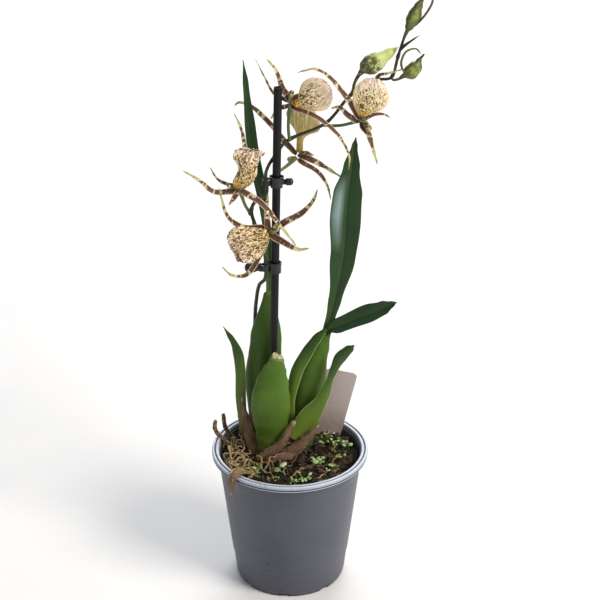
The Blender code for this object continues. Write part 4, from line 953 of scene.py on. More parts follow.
def blade(name, points, widths, thickness, facing=VIEWER, facing_end=None, fold=0.0, cup=0.0, twist=0.0,
          rib=0.0, ruffle=0.0, wave=7.0, ragged=0.0, tear=3.0, seed=0.0, along=64, across=16):
    """A leaf, sepal, lip or sheath: a lens-shaped section laid along a curve, in mm.

    Fold lifts both edges in a V and cup in a bowl, as shares of the half width. Twist is in degrees from
    end to end. Rib sinks the midrib. Ruffle waves the edges. Ragged varies the width as a share of it.
    Its marks are "share", across, along and under or not from 0 to 1, and "lay_mm", across and along.
    """
    places = smooth_path([on_mix(p) for p in points], along)
    ends = (Vector(facing), Vector(facing if facing_end is None else facing_end))
    rings, share, lay = [], [], []
    done = 0.0
    for i, (tangent, side, normal) in enumerate(frames_along(places, ends)):
        t = i / along
        done += (places[i] - places[max(i - 1, 0)]).length / MM
        turn = Matrix.Rotation(math.radians(twist * t), 3, tangent)
        side, normal = turn @ side, turn @ normal
        upper, lower, share_up, lay_up = [], [], [], []
        for k in range(across + 1):
            lean = 2 * k / across - 1
            edge = abs(lean)
            torn = noise.noise(Vector((done / tear, 4.0 if lean > 0 else -4.0, seed)))
            torn += 0.5 * noise.noise(Vector((done / tear * 2.7, 9.0 if lean > 0 else -9.0, seed)))
            half = read_profile(widths, t) / 2 * (1 + ragged * torn * edge)
            lift = half * (fold * edge + cup * lean * lean)
            lift -= rib * math.exp(-(lean * half / 0.8) ** 2)
            phase = seed + (2.1 if lean > 0 else 0)
            lift += ruffle * edge ** 2 * math.sin(2 * math.pi * done / wave + phase)
            lift += 0.7 * ruffle * edge * noise.noise(Vector((done / wave * 1.7, lean * 1.5, seed)))
            depth = thickness / 2 * (1 - 0.75 * edge ** 3)
            spot = places[i] + (side * (half * lean) + normal * lift) * MM
            upper.append(spot + normal * depth * MM)
            lower.append(spot - normal * depth * MM)
            share_up.append(((lean + 1) / 2, t, 0))
            lay_up.append((half * lean, done, 0))
        rings.append(upper + lower[::-1])
        share.append(share_up + [(x, y, 1) for x, y, _ in reversed(share_up)])
        lay.append(lay_up + lay_up[::-1])
    return loft(name, rings, {"share": share, "lay_mm": lay})


# Grown orchid leaf: leathery and dark, with fine lengthwise veins about 0.6 mm apart, a pale midrib and a
# lighter underside. A painted bluish-white sheen, standing for a reflection, lies along one half of the
# tallest blade.
leaf_skin, tree, shader = start_material("leathery dark leaf", 0.4, ior=1.45, Specular_IOR_Level=0.4)
place = add(tree, "ShaderNodeTexCoord").outputs["Object"]
share = add(tree, "ShaderNodeAttribute", attribute_name="share").outputs["Vector"]
split = add(tree, "ShaderNodeSeparateXYZ", {"Vector": share})
lay = add(tree, "ShaderNodeAttribute", attribute_name="lay_mm").outputs["Vector"]
fall = add(tree, "ShaderNodeValToRGB", {"Fac": split.outputs["Y"]}, stops=((0.0, "445F1E"),
    (0.16, "284518"), (0.5, "22441C"), (1.0, "2A4A22")))
cloud = add(tree, "ShaderNodeTexNoise", {"Vector": place, "Scale": 55.0, "Detail": 4.0})
clouded = stain(tree, fall, colour("17301A"), cloud, 0.4, 0.7, 0.5)
vein_at = add(tree, "ShaderNodeMapping", {"Vector": lay, "Scale": (1.6, 0.03, 1.0)})
veins = add(tree, "ShaderNodeTexNoise", {"Vector": vein_at, "Scale": 1.0, "Detail": 2.0})
veined = stain(tree, clouded, colour("375428"), veins, 0.5, 0.7, 0.2)
off_middle = add(tree, "ShaderNodeMath", {0: split.outputs["X"], 1: 0.5}, operation="SUBTRACT")
off_middle = add(tree, "ShaderNodeMath", {0: off_middle}, operation="ABSOLUTE")
ribbed = stain(tree, veined, colour("4F6E38"), off_middle, 0.012, 0.03, 0.0, 0.3)
# Painted sheen: a bluish-white reflection mixed into one half of the blade, as strong as the blade's stored
# value.
painted_sheen_across = add(tree, "ShaderNodeValToRGB", {"Fac": split.outputs["X"]},
    stops=((0.0, "000000"), (0.12, "A0A0A0"), (0.26, "C8C8C8"), (0.44, "000000")))
painted_sheen_along = add(tree, "ShaderNodeValToRGB", {"Fac": split.outputs["Y"]},
    stops=((0.4, "000000"), (0.58, "FFFFFF"), (0.68, "F0F0F0"), (0.82, "000000")))
painted_sheen = add(tree, "ShaderNodeMath", {0: painted_sheen_across, 1: painted_sheen_along}, operation="MULTIPLY")
sheen = add(tree, "ShaderNodeAttribute", attribute_name="shade").outputs["Fac"]
painted_sheen = add(tree, "ShaderNodeMath", {0: painted_sheen, 1: sheen}, operation="MULTIPLY")
ribbed = add(tree, "ShaderNodeMix", {0: painted_sheen, 6: ribbed, 7: colour("B4CDD2")}, data_type="RGBA")
under = add(tree, "ShaderNodeMath", {0: split.outputs["Z"], 1: 0.45}, operation="MULTIPLY")
paler = add(tree, "ShaderNodeMix", {0: under, 6: ribbed, 7: colour("45632F")}, data_type="RGBA")
gloss = add(tree, "ShaderNodeMapRange", {"Value": cloud, "To Min": 0.28, "To Max": 0.46})
feed(shader, {"Roughness": gloss})
paint(shader, paler, veins, 0.3, 0.0004)

keep("blade_tall_left", blade("blade_tall_left", ((-16.3, 26, 124), (-16, 26, 164), (-20, 27, 200),
    (-27, 28, 240), (-32, 30, 301)), ((0, 4), (0.3, 6.5), (0.6, 9), (0.8, 8.6), (0.93, 4.6), (1, 0.6)), 0.7,
    facing=(0.5, -1, 0.2), fold=0.35, rib=0.3, ruffle=0.2, wave=60), leaf_skin, "leaf", "leaf_tall_left")
tall_right = blade("blade_right_tall", ((26.5, 12.3, 94), (34, 13.5, 127), (39.5, 14, 162), (41, 14, 196),
    (43.5, 14, 220), (47, 14, 250)), ((0, 7), (0.1, 7), (0.2, 10), (0.38, 18.5), (0.55, 22.5), (0.7, 21),
    (0.86, 12), (0.96, 4.5), (1, 0.6)), 0.7, facing=(-0.1, -1, 0.15), fold=0.25, rib=0.5, ruffle=0.3,
    wave=75, across=24)
# This blade gets the painted sheen at full strength.
keep("blade_right_tall", store_painted_shade_and_sheen(tall_right, 1.0), leaf_skin, "leaf", "leaf_right_tall")
keep("blade_right_low", blade("blade_right_low", ((26.8, 11, 97.5), (30, 9, 103), (38, 7, 107.5),
    (53, 4, 116), (66, 0, 123), (78, -4, 131)), ((0, 3.2), (0.15, 5), (0.4, 11.5), (0.68, 14), (0.86, 10.5),
    (0.95, 5), (1, 0.6)), 0.7, facing=(-0.3, -1, 0.55), fold=0.35, rib=0.3, ruffle=0.3, wave=50), leaf_skin,
    "leaf", "leaf_right_low")

# Young leaf: softer, fresh yellow-green at its foot, darkening to the tip.
young_skin, tree, shader = start_material("soft young leaf", 0.42, ior=1.45, Subsurface_Weight=0.08,
    Subsurface_Scale=0.001, Specular_IOR_Level=0.35)
share = add(tree, "ShaderNodeAttribute", attribute_name="share").outputs["Vector"]
split = add(tree, "ShaderNodeSeparateXYZ", {"Vector": share})
lay = add(tree, "ShaderNodeAttribute", attribute_name="lay_mm").outputs["Vector"]
fall = add(tree, "ShaderNodeValToRGB", {"Fac": split.outputs["Y"]}, stops=((0.0, "7E8638"),
    (0.14, "687C26"), (0.45, "4C6A1C"), (0.68, "2C4A16"), (1.0, "203A15")))
vein_at = add(tree, "ShaderNodeMapping", {"Vector": lay, "Scale": (1.5, 0.03, 1.0)})
veins = add(tree, "ShaderNodeTexNoise", {"Vector": vein_at, "Scale": 1.0, "Detail": 2.0})
veined = stain(tree, fall, colour("678A32"), veins, 0.45, 0.7, 0.25)
off_middle = add(tree, "ShaderNodeMath", {0: split.outputs["X"], 1: 0.5}, operation="SUBTRACT")
off_middle = add(tree, "ShaderNodeMath", {0: off_middle}, operation="ABSOLUTE")
hemmed = stain(tree, veined, colour("C2D69A"), off_middle, 0.46, 0.495, 0.75)
paint(shader, hemmed, veins, 0.35, 0.0004)
keep("blade_sheath_middle", blade("blade_sheath_middle", ((2, 4, 12), (0, 3.6, 42), (4.2, 3.2, 68),
    (11.6, 3.6, 84), (19.6, 5, 96.5), (27, 8, 104)), ((0, 7), (0.2, 7), (0.4, 9.5), (0.6, 9), (0.8, 7),
    (1, 2.5)), 0.7, facing=(-0.45, -1, 0), cup=-0.3, ruffle=0.15, wave=40), young_skin, "leaf",
    "leaf_sheath_middle")
keep("blade_small_right", blade("blade_small_right", ((2, -4, 16), (12, -4, 30), (24.5, -3.5, 50),
    (31.2, -2.5, 69), (37.5, -2, 83.5), (47.6, -2, 95)), ((0, 10), (0.08, 15), (0.25, 16.5), (0.42, 9),
    (0.58, 5.6), (0.68, 6.8), (0.82, 9.6), (0.94, 7.2), (1, 1.5)), 0.8, facing=(0.2, -1, 0.1), cup=-0.3,
    ruffle=0.12, wave=45), young_skin, "leaf", "leaf_small_right")
keep("blade_small_left", blade("blade_small_left", ((-36.5, 13, 18), (-38, 13, 42), (-38, 15, 66),
    (-41, 17, 84), (-50, 18, 101)), ((0, 7), (0.3, 8.5), (0.65, 8.5), (0.85, 5), (1, 0.8)), 0.8,
    facing=(-0.3, -1, 0.1), cup=-0.2, ruffle=0.15, wave=45), young_skin, "leaf", "leaf_small_left")

# ---------------------------------------------------------------- dry sheaths
# The papery brown bases of old leaves, still wrapped round the foot of each bulb and torn at the tip.
FRONT_EDGE = BULB_X - BULB_WIDTH / 2
FRONT_FACE = -2 - BULB_DEPTH / 2
# Dry sheath: parchment-like, with long brown fibres, bleached at its torn edges.
papery, tree, shader = start_material("papery dry sheath", 0.72, ior=1.42)
share = add(tree, "ShaderNodeAttribute", attribute_name="share").outputs["Vector"]
split = add(tree, "ShaderNodeSeparateXYZ", {"Vector": share})
lay = add(tree, "ShaderNodeAttribute", attribute_name="lay_mm").outputs["Vector"]
fibre_at = add(tree, "ShaderNodeMapping", {"Vector": lay, "Scale": (2.2, 0.09, 1.0)})
fibre = add(tree, "ShaderNodeTexNoise", {"Vector": fibre_at, "Scale": 1.0, "Detail": 4.0, "Roughness": 0.65,
    "Distortion": 0.4})
tone = add(tree, "ShaderNodeValToRGB", {"Fac": fibre}, stops=((0.3, "453628"), (0.45, "6C5541"),
    (0.58, "93795F"), (0.72, "B8A186")))
patch_at = add(tree, "ShaderNodeTexCoord").outputs["Object"]
patch = add(tree, "ShaderNodeTexNoise", {"Vector": patch_at, "Scale": 130.0, "Detail": 3.0})
reddened = stain(tree, tone, colour("6A3A2A"), patch, 0.5, 0.7, 0.6)
bleached = stain(tree, reddened, colour("CDBF9C"), split.outputs["Y"], 0.93, 1.0, 0.8)
paint(shader, bleached, fibre, 0.9, 0.0008)
keep("sheath_left", blade("sheath_left", ((FRONT_EDGE + 5, -1, -1), (FRONT_EDGE + 0.5, 0.5, 9),
    (FRONT_EDGE - 3, 3, 24), (FRONT_EDGE - 6.5, 6, 47)), ((0, 7), (0.3, 10), (0.65, 8.5), (1, 1.6)), 0.5,
    facing=(-0.3, -1, 0.2), cup=-0.35, ruffle=0.5, wave=16, ragged=0.3, tear=5, seed=3), papery,
    "dry_sheath", "dry_sheath_left")
keep("sheath_front", blade("sheath_front", ((-25, FRONT_FACE, 1), (-18.5, FRONT_FACE - 2, 6.5),
    (-9, FRONT_FACE - 3, 14.5), (-3, FRONT_FACE - 2, 24), (3.4, FRONT_FACE, 35.5)),
    ((0, 8), (0.35, 8.4), (0.7, 6), (0.92, 4.4), (1, 3)), 0.5, facing=(0, -1, 0.4), cup=-0.85, ruffle=0.3,
    wave=14, ragged=0.25, tear=4, seed=5), papery, "dry_sheath", "dry_sheath_front")
keep("sheath_right", blade("sheath_right", ((-8, -9.5, 1), (0, -9.8, 6.5), (8, -9, 14), (15, -8, 22),
    (21.5, -7, 30)), ((0, 10), (0.35, 10), (0.7, 6.5), (1, 1.6)), 0.5, facing=(0, -1, 0.4), cup=-0.6,
    ruffle=0.5, wave=12, ragged=0.35, tear=4, seed=8), papery, "dry_sheath", "dry_sheath_right")
keep("sheath_back", blade("sheath_back", ((-30, 12, 0), (-35, 13, 10), (-38, 13.5, 24), (-41.5, 14, 44)),
    ((0, 10), (0.4, 8.5), (0.8, 4), (1, 1.0)), 0.5, facing=(-0.4, -1, 0.2), cup=-0.4, ruffle=0.4, wave=15,
    ragged=0.3, tear=5, seed=9), papery, "dry_sheath")
keep("sheath_foot", blade("sheath_foot", ((-22, -10, 0), (-12, -12, 3), (-1, -11, 6), (7, -8, 9)),
    ((0, 3), (0.4, 8), (0.8, 6), (1, 2)), 0.5, facing=(0, -1, 0.6), cup=-0.5, ruffle=0.5, wave=11,
    ragged=0.4, tear=3, seed=12), papery, "dry_sheath")

# ---------------------------------------------------------------- roots
# Aerial roots: two cut stubs stand at the left of the rim, a tangle of thin dry ones spills between them,
# and a fibrous clump hangs over the rim at the front left.
ROOT_MM = 3.4
RIM_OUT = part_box("pot")[1].x / MM
RIM_UP = (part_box("pot")[1].z - MIX_LEVEL) / MM


def over_rim(beyond, sideways, above):
    """A point past the rim's outer edge at the left, and above the rim's top, in mm."""
    return (-(RIM_OUT + beyond), sideways, RIM_UP + above)


# Velamen, the spongy coat of an orchid root: dull tan to grey-brown when dry, wrinkled and flaking.
velamen, tree, shader = start_material("dry root velamen", 0.85, ior=1.4)
place = add(tree, "ShaderNodeTexCoord").outputs["Object"]
along = add(tree, "ShaderNodeAttribute", attribute_name="far_mm").outputs["Fac"]
tint = add(tree, "ShaderNodeAttribute", attribute_name="tint").outputs["Fac"]
flake = add(tree, "ShaderNodeTexNoise", {"Vector": place, "Scale": 620.0, "Detail": 5.0, "Roughness": 0.7})
wrinkle = add(tree, "ShaderNodeMath", {0: along, 1: 5.5}, operation="MULTIPLY")
wrinkle = add(tree, "ShaderNodeMath", {0: wrinkle}, operation="SINE")
mixed = add(tree, "ShaderNodeMath", {0: tint, 1: 0.25, 2: flake}, operation="MULTIPLY_ADD")
tone = add(tree, "ShaderNodeValToRGB", {"Fac": mixed}, stops=((0.36, "3A2D20"), (0.48, "75603F"),
    (0.62, "A08B62"), (0.8, "C6B38A")))
ridge = add(tree, "ShaderNodeMath", {0: wrinkle, 1: 0.12, 2: flake}, operation="MULTIPLY_ADD")
paint(shader, tone, ridge, 0.8, 0.0008)
STUB = ((0, 3.0), (0.5, ROOT_MM), (0.85, ROOT_MM * 0.95), (0.97, ROOT_MM * 0.9), (1, ROOT_MM * 0.55))
left_stub = threads("left_stub_path", [((over_rim(-18, 10, -9), over_rim(-9, 9.5, 0), over_rim(-4.5, 9, 5),
    over_rim(-2, 8, 11), over_rim(-2.6, 8, 18)), STUB)], 40)
left_stub = grow("stub_left", left_stub, stem_tree, velamen, Sides=16, Bumps=0.0009, Bump_scale=420.0)
keep("stub_left", left_stub, velamen, "root", "root_stub_left")
back_stub = threads("back_stub_path", [((over_rim(-19, 20, -9), over_rim(-12.5, 20, -1),
    over_rim(-9, 20, 6), over_rim(-8, 20, 17)), STUB)], 40)
back_stub = grow("stub_back", back_stub, stem_tree, velamen, Sides=16, Bumps=0.0009, Bump_scale=420.0)
keep("stub_back", back_stub, velamen, "root", "root_stub_back")

tangle = []
for k in range(46):
    start_turn = chance.uniform(math.radians(150), math.radians(232))
    reach = chance.uniform(30, 50)
    x, y = reach * math.cos(start_turn), reach * math.sin(start_turn)
    heading = chance.uniform(0, 2 * math.pi)
    path = [(x, y, mix_top(x, y) + 0.4)]
    for _ in range(5):
        heading += chance.uniform(-1.3, 1.3)
        x += 5.2 * math.cos(heading)
        y += 5.2 * math.sin(heading)
        held = min(1.0, 52.0 / max(1.0, math.hypot(x, y)))
        x, y = x * held, y * held
        path.append((x, y, mix_top(x, y) + chance.uniform(0.6, 9.5)))
    fat = chance.uniform(0.7, 1.7)
    tangle.append((path, ((0, fat), (0.7, fat * 0.9), (1, fat * 0.35))))
tangle_mesh = grow("root_tangle", threads("tangle_paths", tangle, 26), stem_tree, velamen, Sides=7,
    Bumps=0.0007, Bump_scale=500.0)
keep("root_tangle", tangle_mesh, velamen, "root")

over = Vector((-0.68, -0.73, 0)).normalized()
across_over = Vector((-over.y, over.x, 0))
clump = []
for k in range(26):
    shift = across_over * chance.uniform(-4.5, 4.5)
    lift = Vector((0, 0, chance.uniform(-0.5, 1.8)))
    fall = chance.uniform(4, 17)
    out = chance.uniform(0.0, 1.6)
    path = (over * (RIM_OUT - 22) + shift * 1.6 + Vector((0, 0, -1)),
        over * (RIM_OUT - 12) + shift * 1.2 + lift + Vector((0, 0, RIM_UP - 2)),
        over * (RIM_OUT - 4) + shift + lift + Vector((0, 0, RIM_UP + 1.6)),
        over * (RIM_OUT + 1.2 + out) + shift * 0.8 + lift * 0.5 + Vector((0, 0, RIM_UP - 0.4)),
        over * (RIM_OUT + 1.8 + out) + shift * (1.2 + chance.uniform(-0.5, 0.5)) + Vector((0, 0,
        RIM_UP - fall)))
    fat = chance.uniform(0.35, 1.0)
    clump.append((path, ((0, fat), (0.7, fat), (1, fat * 0.25))))
keep("clump_husk", blade("clump_husk", (over * (RIM_OUT - 17) + Vector((0, 0, RIM_UP - 3)),
    over * (RIM_OUT - 5) + Vector((0, 0, RIM_UP + 2.4)), over * (RIM_OUT + 3) + Vector((0, 0,
    RIM_UP - 0.4)), over * (RIM_OUT + 4) + Vector((0, 0, RIM_UP - 14))),
    ((0, 4), (0.4, 8), (0.75, 6), (1, 2)), 0.5, facing=over + Vector((0, 0, 0.8)), cup=-0.4, ruffle=0.6,
    wave=7, ragged=0.5, tear=3, seed=21, across=20), papery, "root")
clump_mesh = grow("root_clump", threads("clump_paths", clump, 28), stem_tree, velamen, Sides=7,
    Bumps=0.0008, Bump_scale=450.0)
keep("root_clump", clump_mesh, velamen, "root", "root_clump_rim")

# ---------------------------------------------------------------- flower spike
# One woody stem from behind the back bulb, up through the clips at the stake's left and out to the right,
# with a papery ring at each joint and a thin bract near its tip.
SPIKE_FOOT = Vector((-24, 38, 0)).normalized() * (MIX_RADIUS - 5.5)
rise = Vector((0, 0, 8))
behind = stake_at(238) + Vector((1, STAKE_MM / 2 + SPIKE_MM / 2 + 2.4, 0))
spike_path = (SPIKE_FOOT + Vector((0, 0, -6)), (-27, 38, 70), (-26.5, 34, 102), (-25, 28, 120),
    (-22.6, 20.5, 134), lower_hold - rise, lower_hold + rise, (-23, 12, 180), (-27, 11, 194),
    (-25, 12, 202), upper_hold - rise, upper_hold + rise, behind, (1, 23.5, 246), (26, 22, 258),
    (43, 22, 278), (60, 20, 289), (71, 18, 292), (75, 18, 306), (79, 17, 320.5),)
JOINTS = (0.3, 0.44, 0.52, 0.685, 0.735, 0.79, 0.845, 0.9, 0.948)
spike_fat = [(0.0, SPIKE_MM + 0.4)]
for joint in JOINTS:
    girth = SPIKE_MM + 0.2 - 0.9 * joint
    spike_fat += [(joint - 0.008, girth), (joint, girth + 0.75), (joint + 0.012, girth)]
spike_fat.append((1.0, SPIKE_MM * 0.68))
bract_path = ((76.2, 17.6, 310.5), (79, 16.6, 314), (83, 15, 317.5), (89, 14, 322))
spike_runs = [(spike_path, spike_fat), (bract_path, ((0, 1.8), (0.3, 2.3), (0.8, 1.4), (1, 0.4)))]
# Living stem: smooth, dark purplish brown over green, nearly black low down, greener in the middle.
stem_skin, tree, shader = start_material("smooth dark flower stem", 0.42, ior=1.45)
place = add(tree, "ShaderNodeTexCoord").outputs["Object"]
height = add(tree, "ShaderNodeSeparateXYZ", {"Vector": place}).outputs["Z"]
up = add(tree, "ShaderNodeMapRange", {"Value": height, "From Min": 0.1, "From Max": 0.43})
fall = add(tree, "ShaderNodeValToRGB", {"Fac": up}, stops=((0.0, "2A241A"), (0.4, "221E19"),
    (0.55, "2E3420"), (0.72, "3A3B26"), (0.84, "3B2C2A"), (1.0, "33262C")))
mottle = add(tree, "ShaderNodeTexNoise", {"Vector": place, "Scale": 320.0, "Detail": 4.0})
green = stain(tree, fall, colour("4C4B30"), mottle, 0.45, 0.7, 0.6)
paint(shader, green, mottle, 0.3, 0.0004)
spike_mesh = grow("spike_stem", threads("spike_paths", spike_runs, 320), stem_tree, stem_skin, Sides=14,
    Bumps=0.00025, Bump_scale=300.0)
keep("spike_stem", spike_mesh, stem_skin, "spike_stem", "flower_spike")

# ---------------------------------------------------------------- flowers
# Five spider-orchid flowers. Each has a stalk that swells into the column, five narrow twisted sepals and
# petals, and one broad lip with a yellow crest at its throat. All are grown, thin and slightly fleshy.
SEPAL_MM = 4.4
SEPAL_SHAPE = ((0, 0.5), (0.1, 0.8), (0.3, 1.05), (0.55, 0.88), (0.8, 0.52), (0.94, 0.3), (1, 0.1))
STALK_MM = 2.3

# Sepal: maroon-brown blotches 3 to 5 mm long, with narrow cream bars between, a cream hem, nearly solid
# brown at the foot and clear yellow-green at the tip.
sepal_skin, tree, shader = start_material("blotched orchid sepal", 0.48, ior=1.42, Subsurface_Weight=0.1,
    Subsurface_Scale=0.0008)
share = add(tree, "ShaderNodeAttribute", attribute_name="share").outputs["Vector"]
split = add(tree, "ShaderNodeSeparateXYZ", {"Vector": share})
lay = add(tree, "ShaderNodeAttribute", attribute_name="lay_mm").outputs["Vector"]
tip_fall = add(tree, "ShaderNodeValToRGB", {"Fac": split.outputs["Y"]},
    stops=((0.0, "DCC4A0"), (0.55, "E2D6AE"), (0.82, "C6C08A"), (1.0, "8E9852")))
blotch_at = add(tree, "ShaderNodeMapping", {"Vector": lay, "Scale": (0.12, 0.3, 1.0)})
tint = add(tree, "ShaderNodeAttribute", attribute_name="tint").outputs["Fac"]
moved = add(tree, "ShaderNodeCombineXYZ", {"Z": tint})
blotch_from = add(tree, "ShaderNodeVectorMath", {0: blotch_at, 1: moved})
blotch = add(tree, "ShaderNodeTexNoise", {"Vector": blotch_from, "Scale": 1.0, "Detail": 2.5,
    "Roughness": 0.55, "Distortion": 0.5})
want = add(tree, "ShaderNodeValToRGB", {"Fac": split.outputs["Y"]}, stops=((0.0, "FFFFFF"), (0.3, "DADADA"),
    (0.75, "B0B0B0"), (0.9, "606060"), (1.0, "000000")))
raised = add(tree, "ShaderNodeMath", {0: want, 1: 0.42, 2: blotch}, operation="MULTIPLY_ADD")
blotched = add(tree, "ShaderNodeMapRange", {"Value": raised, "From Min": 0.64, "From Max": 0.68})
off_middle = add(tree, "ShaderNodeMath", {0: split.outputs["X"], 1: 0.5}, operation="SUBTRACT")
off_middle = add(tree, "ShaderNodeMath", {0: off_middle}, operation="ABSOLUTE")
hem = add(tree, "ShaderNodeMapRange", {"Value": off_middle, "From Min": 0.36, "From Max": 0.45,
    "To Min": 1.0, "To Max": 0.05})
inside = add(tree, "ShaderNodeMath", {0: blotched, 1: hem}, operation="MULTIPLY")
fleck = add(tree, "ShaderNodeTexNoise", {"Vector": lay, "Scale": 2.2, "Detail": 3.0})
brown = add(tree, "ShaderNodeValToRGB", {"Fac": fleck}, stops=((0.3, "4A2C26"), (0.55, "6C463E"),
    (0.75, "906C5E")))
marked = add(tree, "ShaderNodeMix", {0: inside, 6: tip_fall, 7: brown}, data_type="RGBA")
paint(shader, marked, fleck, 0.3, 0.0004)

# Lip: cream going pinkish at the margin, covered in a brown maze that runs out from the throat, its lines
# about 0.6 mm wide and 1.3 mm apart, each in a golden halo. "tint" is how wide the plain margin is, from
# 0 to 1.
lip_skin, tree, shader = start_material("patterned orchid lip", 0.5, ior=1.42, Subsurface_Weight=0.1,
    Subsurface_Scale=0.0006)
share = add(tree, "ShaderNodeAttribute", attribute_name="share").outputs["Vector"]
split = add(tree, "ShaderNodeSeparateXYZ", {"Vector": share})
plain = add(tree, "ShaderNodeAttribute", attribute_name="tint").outputs["Fac"]
lay = add(tree, "ShaderNodeAttribute", attribute_name="lay_mm").outputs["Vector"]
ground = add(tree, "ShaderNodeValToRGB", {"Fac": split.outputs["Y"]}, stops=((0.0, "D2A23C"),
    (0.14, "DEC678"), (0.35, "F0DCA2"), (0.75, "F5E5C4"), (1.0, "F6E4D8")))
maze_at = add(tree, "ShaderNodeMapping", {"Vector": lay, "Scale": (0.56, 0.28, 1.0)})
maze = add(tree, "ShaderNodeTexNoise", {"Vector": maze_at, "Scale": 1.0, "Detail": 0.0, "Distortion": 0.6})
wave = add(tree, "ShaderNodeMath", {0: maze, 1: 20.0}, operation="MULTIPLY")
wave = add(tree, "ShaderNodeMath", {0: wave}, operation="SINE")
edge_across = add(tree, "ShaderNodeMath", {0: split.outputs["X"], 1: 0.5}, operation="SUBTRACT")
edge_across = add(tree, "ShaderNodeMath", {0: edge_across}, operation="ABSOLUTE")
across_fade = add(tree, "ShaderNodeMapRange", {"Value": edge_across, "From Min": 0.26, "From Max": 0.48,
    "To Max": 1.3})
end_fade = add(tree, "ShaderNodeMapRange", {"Value": split.outputs["Y"], "From Min": 0.6, "From Max": 1.0,
    "To Max": 1.4})
fade = add(tree, "ShaderNodeMath", {0: across_fade, 1: end_fade}, operation="MAXIMUM")
fade = add(tree, "ShaderNodeMath", {0: fade, 1: 0.6})
fade = add(tree, "ShaderNodeMath", {0: fade, 1: plain, 2: -0.5}, operation="MULTIPLY_ADD")
line = add(tree, "ShaderNodeMath", {0: wave, 1: fade}, operation="SUBTRACT")
lines = add(tree, "ShaderNodeMapRange", {"Value": line, "From Min": 0.0, "From Max": 0.5, "To Max": 0.9})
warmed = stain(tree, ground, colour("CC9C4E"), line, -0.7, 0.1, 0.6)
brown = add(tree, "ShaderNodeValToRGB", {"Fac": split.outputs["Y"]}, stops=((0.0, "2E1A0C"),
    (0.5, "4A2D16"), (1.0, "6E4C2A")))
lined = add(tree, "ShaderNodeMix", {0: lines, 6: warmed, 7: brown}, data_type="RGBA")
under = add(tree, "ShaderNodeMath", {0: split.outputs["Z"], 1: 0.75}, operation="MULTIPLY")
backed = add(tree, "ShaderNodeMix", {0: under, 6: lined, 7: colour("C4B988")}, data_type="RGBA")
vein = add(tree, "ShaderNodeTexNoise", {"Vector": lay, "Scale": 1.6, "Detail": 3.0})
paint(shader, backed, vein, 0.35, 0.0005)

# The back of a lip: pale greenish yellow with darker veins, as on the flower that faces away.
lip_back, tree, shader = start_material("pale lip, from behind", 0.5, ior=1.42, Subsurface_Weight=0.15,
    Subsurface_Scale=0.001)
lay = add(tree, "ShaderNodeAttribute", attribute_name="lay_mm").outputs["Vector"]
share = add(tree, "ShaderNodeAttribute", attribute_name="share").outputs["Vector"]
along = add(tree, "ShaderNodeSeparateXYZ", {"Vector": share}).outputs["Y"]
ground = add(tree, "ShaderNodeValToRGB", {"Fac": along}, stops=((0.0, "B79A48"), (0.2, "C9B765"),
    (0.5, "D6C883"), (1.0, "E2D8A6")))
vein_at = add(tree, "ShaderNodeMapping", {"Vector": lay, "Scale": (0.9, 0.06, 1.0)})
veins = add(tree, "ShaderNodeTexNoise", {"Vector": vein_at, "Scale": 1.0, "Detail": 3.0})
veined = stain(tree, ground, colour("9A8038"), veins, 0.48, 0.68, 0.6)
show_at = add(tree, "ShaderNodeMapping", {"Vector": lay, "Scale": (0.35, 0.22, 1.0)})
show = add(tree, "ShaderNodeTexNoise", {"Vector": show_at, "Scale": 1.0, "Distortion": 1.2})
shown = stain(tree, veined, colour("8A6A3A"), show, 0.52, 0.6, 0.3)
paint(shader, shown, veins, 0.35, 0.0005)

# Crest: the raised teeth in the throat, warm orange-yellow with a few red-brown dots.
crest_skin, tree, shader = start_material("orange lip crest", 0.42, ior=1.44, Subsurface_Weight=0.1,
    Subsurface_Scale=0.0008)
place = add(tree, "ShaderNodeTexCoord").outputs["Object"]
dots = add(tree, "ShaderNodeTexNoise", {"Vector": place, "Scale": 700.0, "Detail": 2.0})
tone = add(tree, "ShaderNodeValToRGB", {"Fac": dots}, stops=((0.35, "F0C552"), (0.52, "E59A1E"),
    (0.62, "D87C14"), (0.7, "7A3414")))
paint(shader, tone)

# Column and stalk: waxy green, blotched with dark purplish brown, cream at the anther cap.
column_skin, tree, shader = start_material("mottled green column", 0.42, ior=1.45)
place = add(tree, "ShaderNodeTexCoord").outputs["Object"]
share = add(tree, "ShaderNodeAttribute", attribute_name="share").outputs["Vector"]
along = add(tree, "ShaderNodeSeparateXYZ", {"Vector": share}).outputs["Y"]
fall = add(tree, "ShaderNodeValToRGB", {"Fac": along}, stops=((0.0, "56603A"), (0.4, "6E7440"),
    (0.7, "B3A868"), (1.0, "DCCB86")))
blot = add(tree, "ShaderNodeTexNoise", {"Vector": place, "Scale": 480.0, "Detail": 3.0})
marked = stain(tree, fall, colour("33241A"), blot, 0.47, 0.55, 0.9)
paint(shader, marked, blot, 0.3, 0.0004)
stalk_skin, tree, shader = start_material("green flower stalk", 0.45, ior=1.45)
place = add(tree, "ShaderNodeTexCoord").outputs["Object"]
along = add(tree, "ShaderNodeAttribute", attribute_name="along").outputs["Fac"]
fall = add(tree, "ShaderNodeValToRGB", {"Fac": along}, stops=((0.0, "3D4628"), (0.3, "53663A"),
    (1.0, "6F8650")))
blot = add(tree, "ShaderNodeTexNoise", {"Vector": place, "Scale": 260.0, "Detail": 3.0})
marked = stain(tree, fall, colour("44482C"), blot, 0.5, 0.7, 0.5)
paint(shader, marked)


def tinted_mesh(mesh, tint):
    """Store one tint over a whole mesh, to move its pattern."""
    layer = mesh.attributes.new("tint", "FLOAT", "POINT")
    layer.data.foreach_set("value", [tint] * len(mesh.vertices))
    return mesh


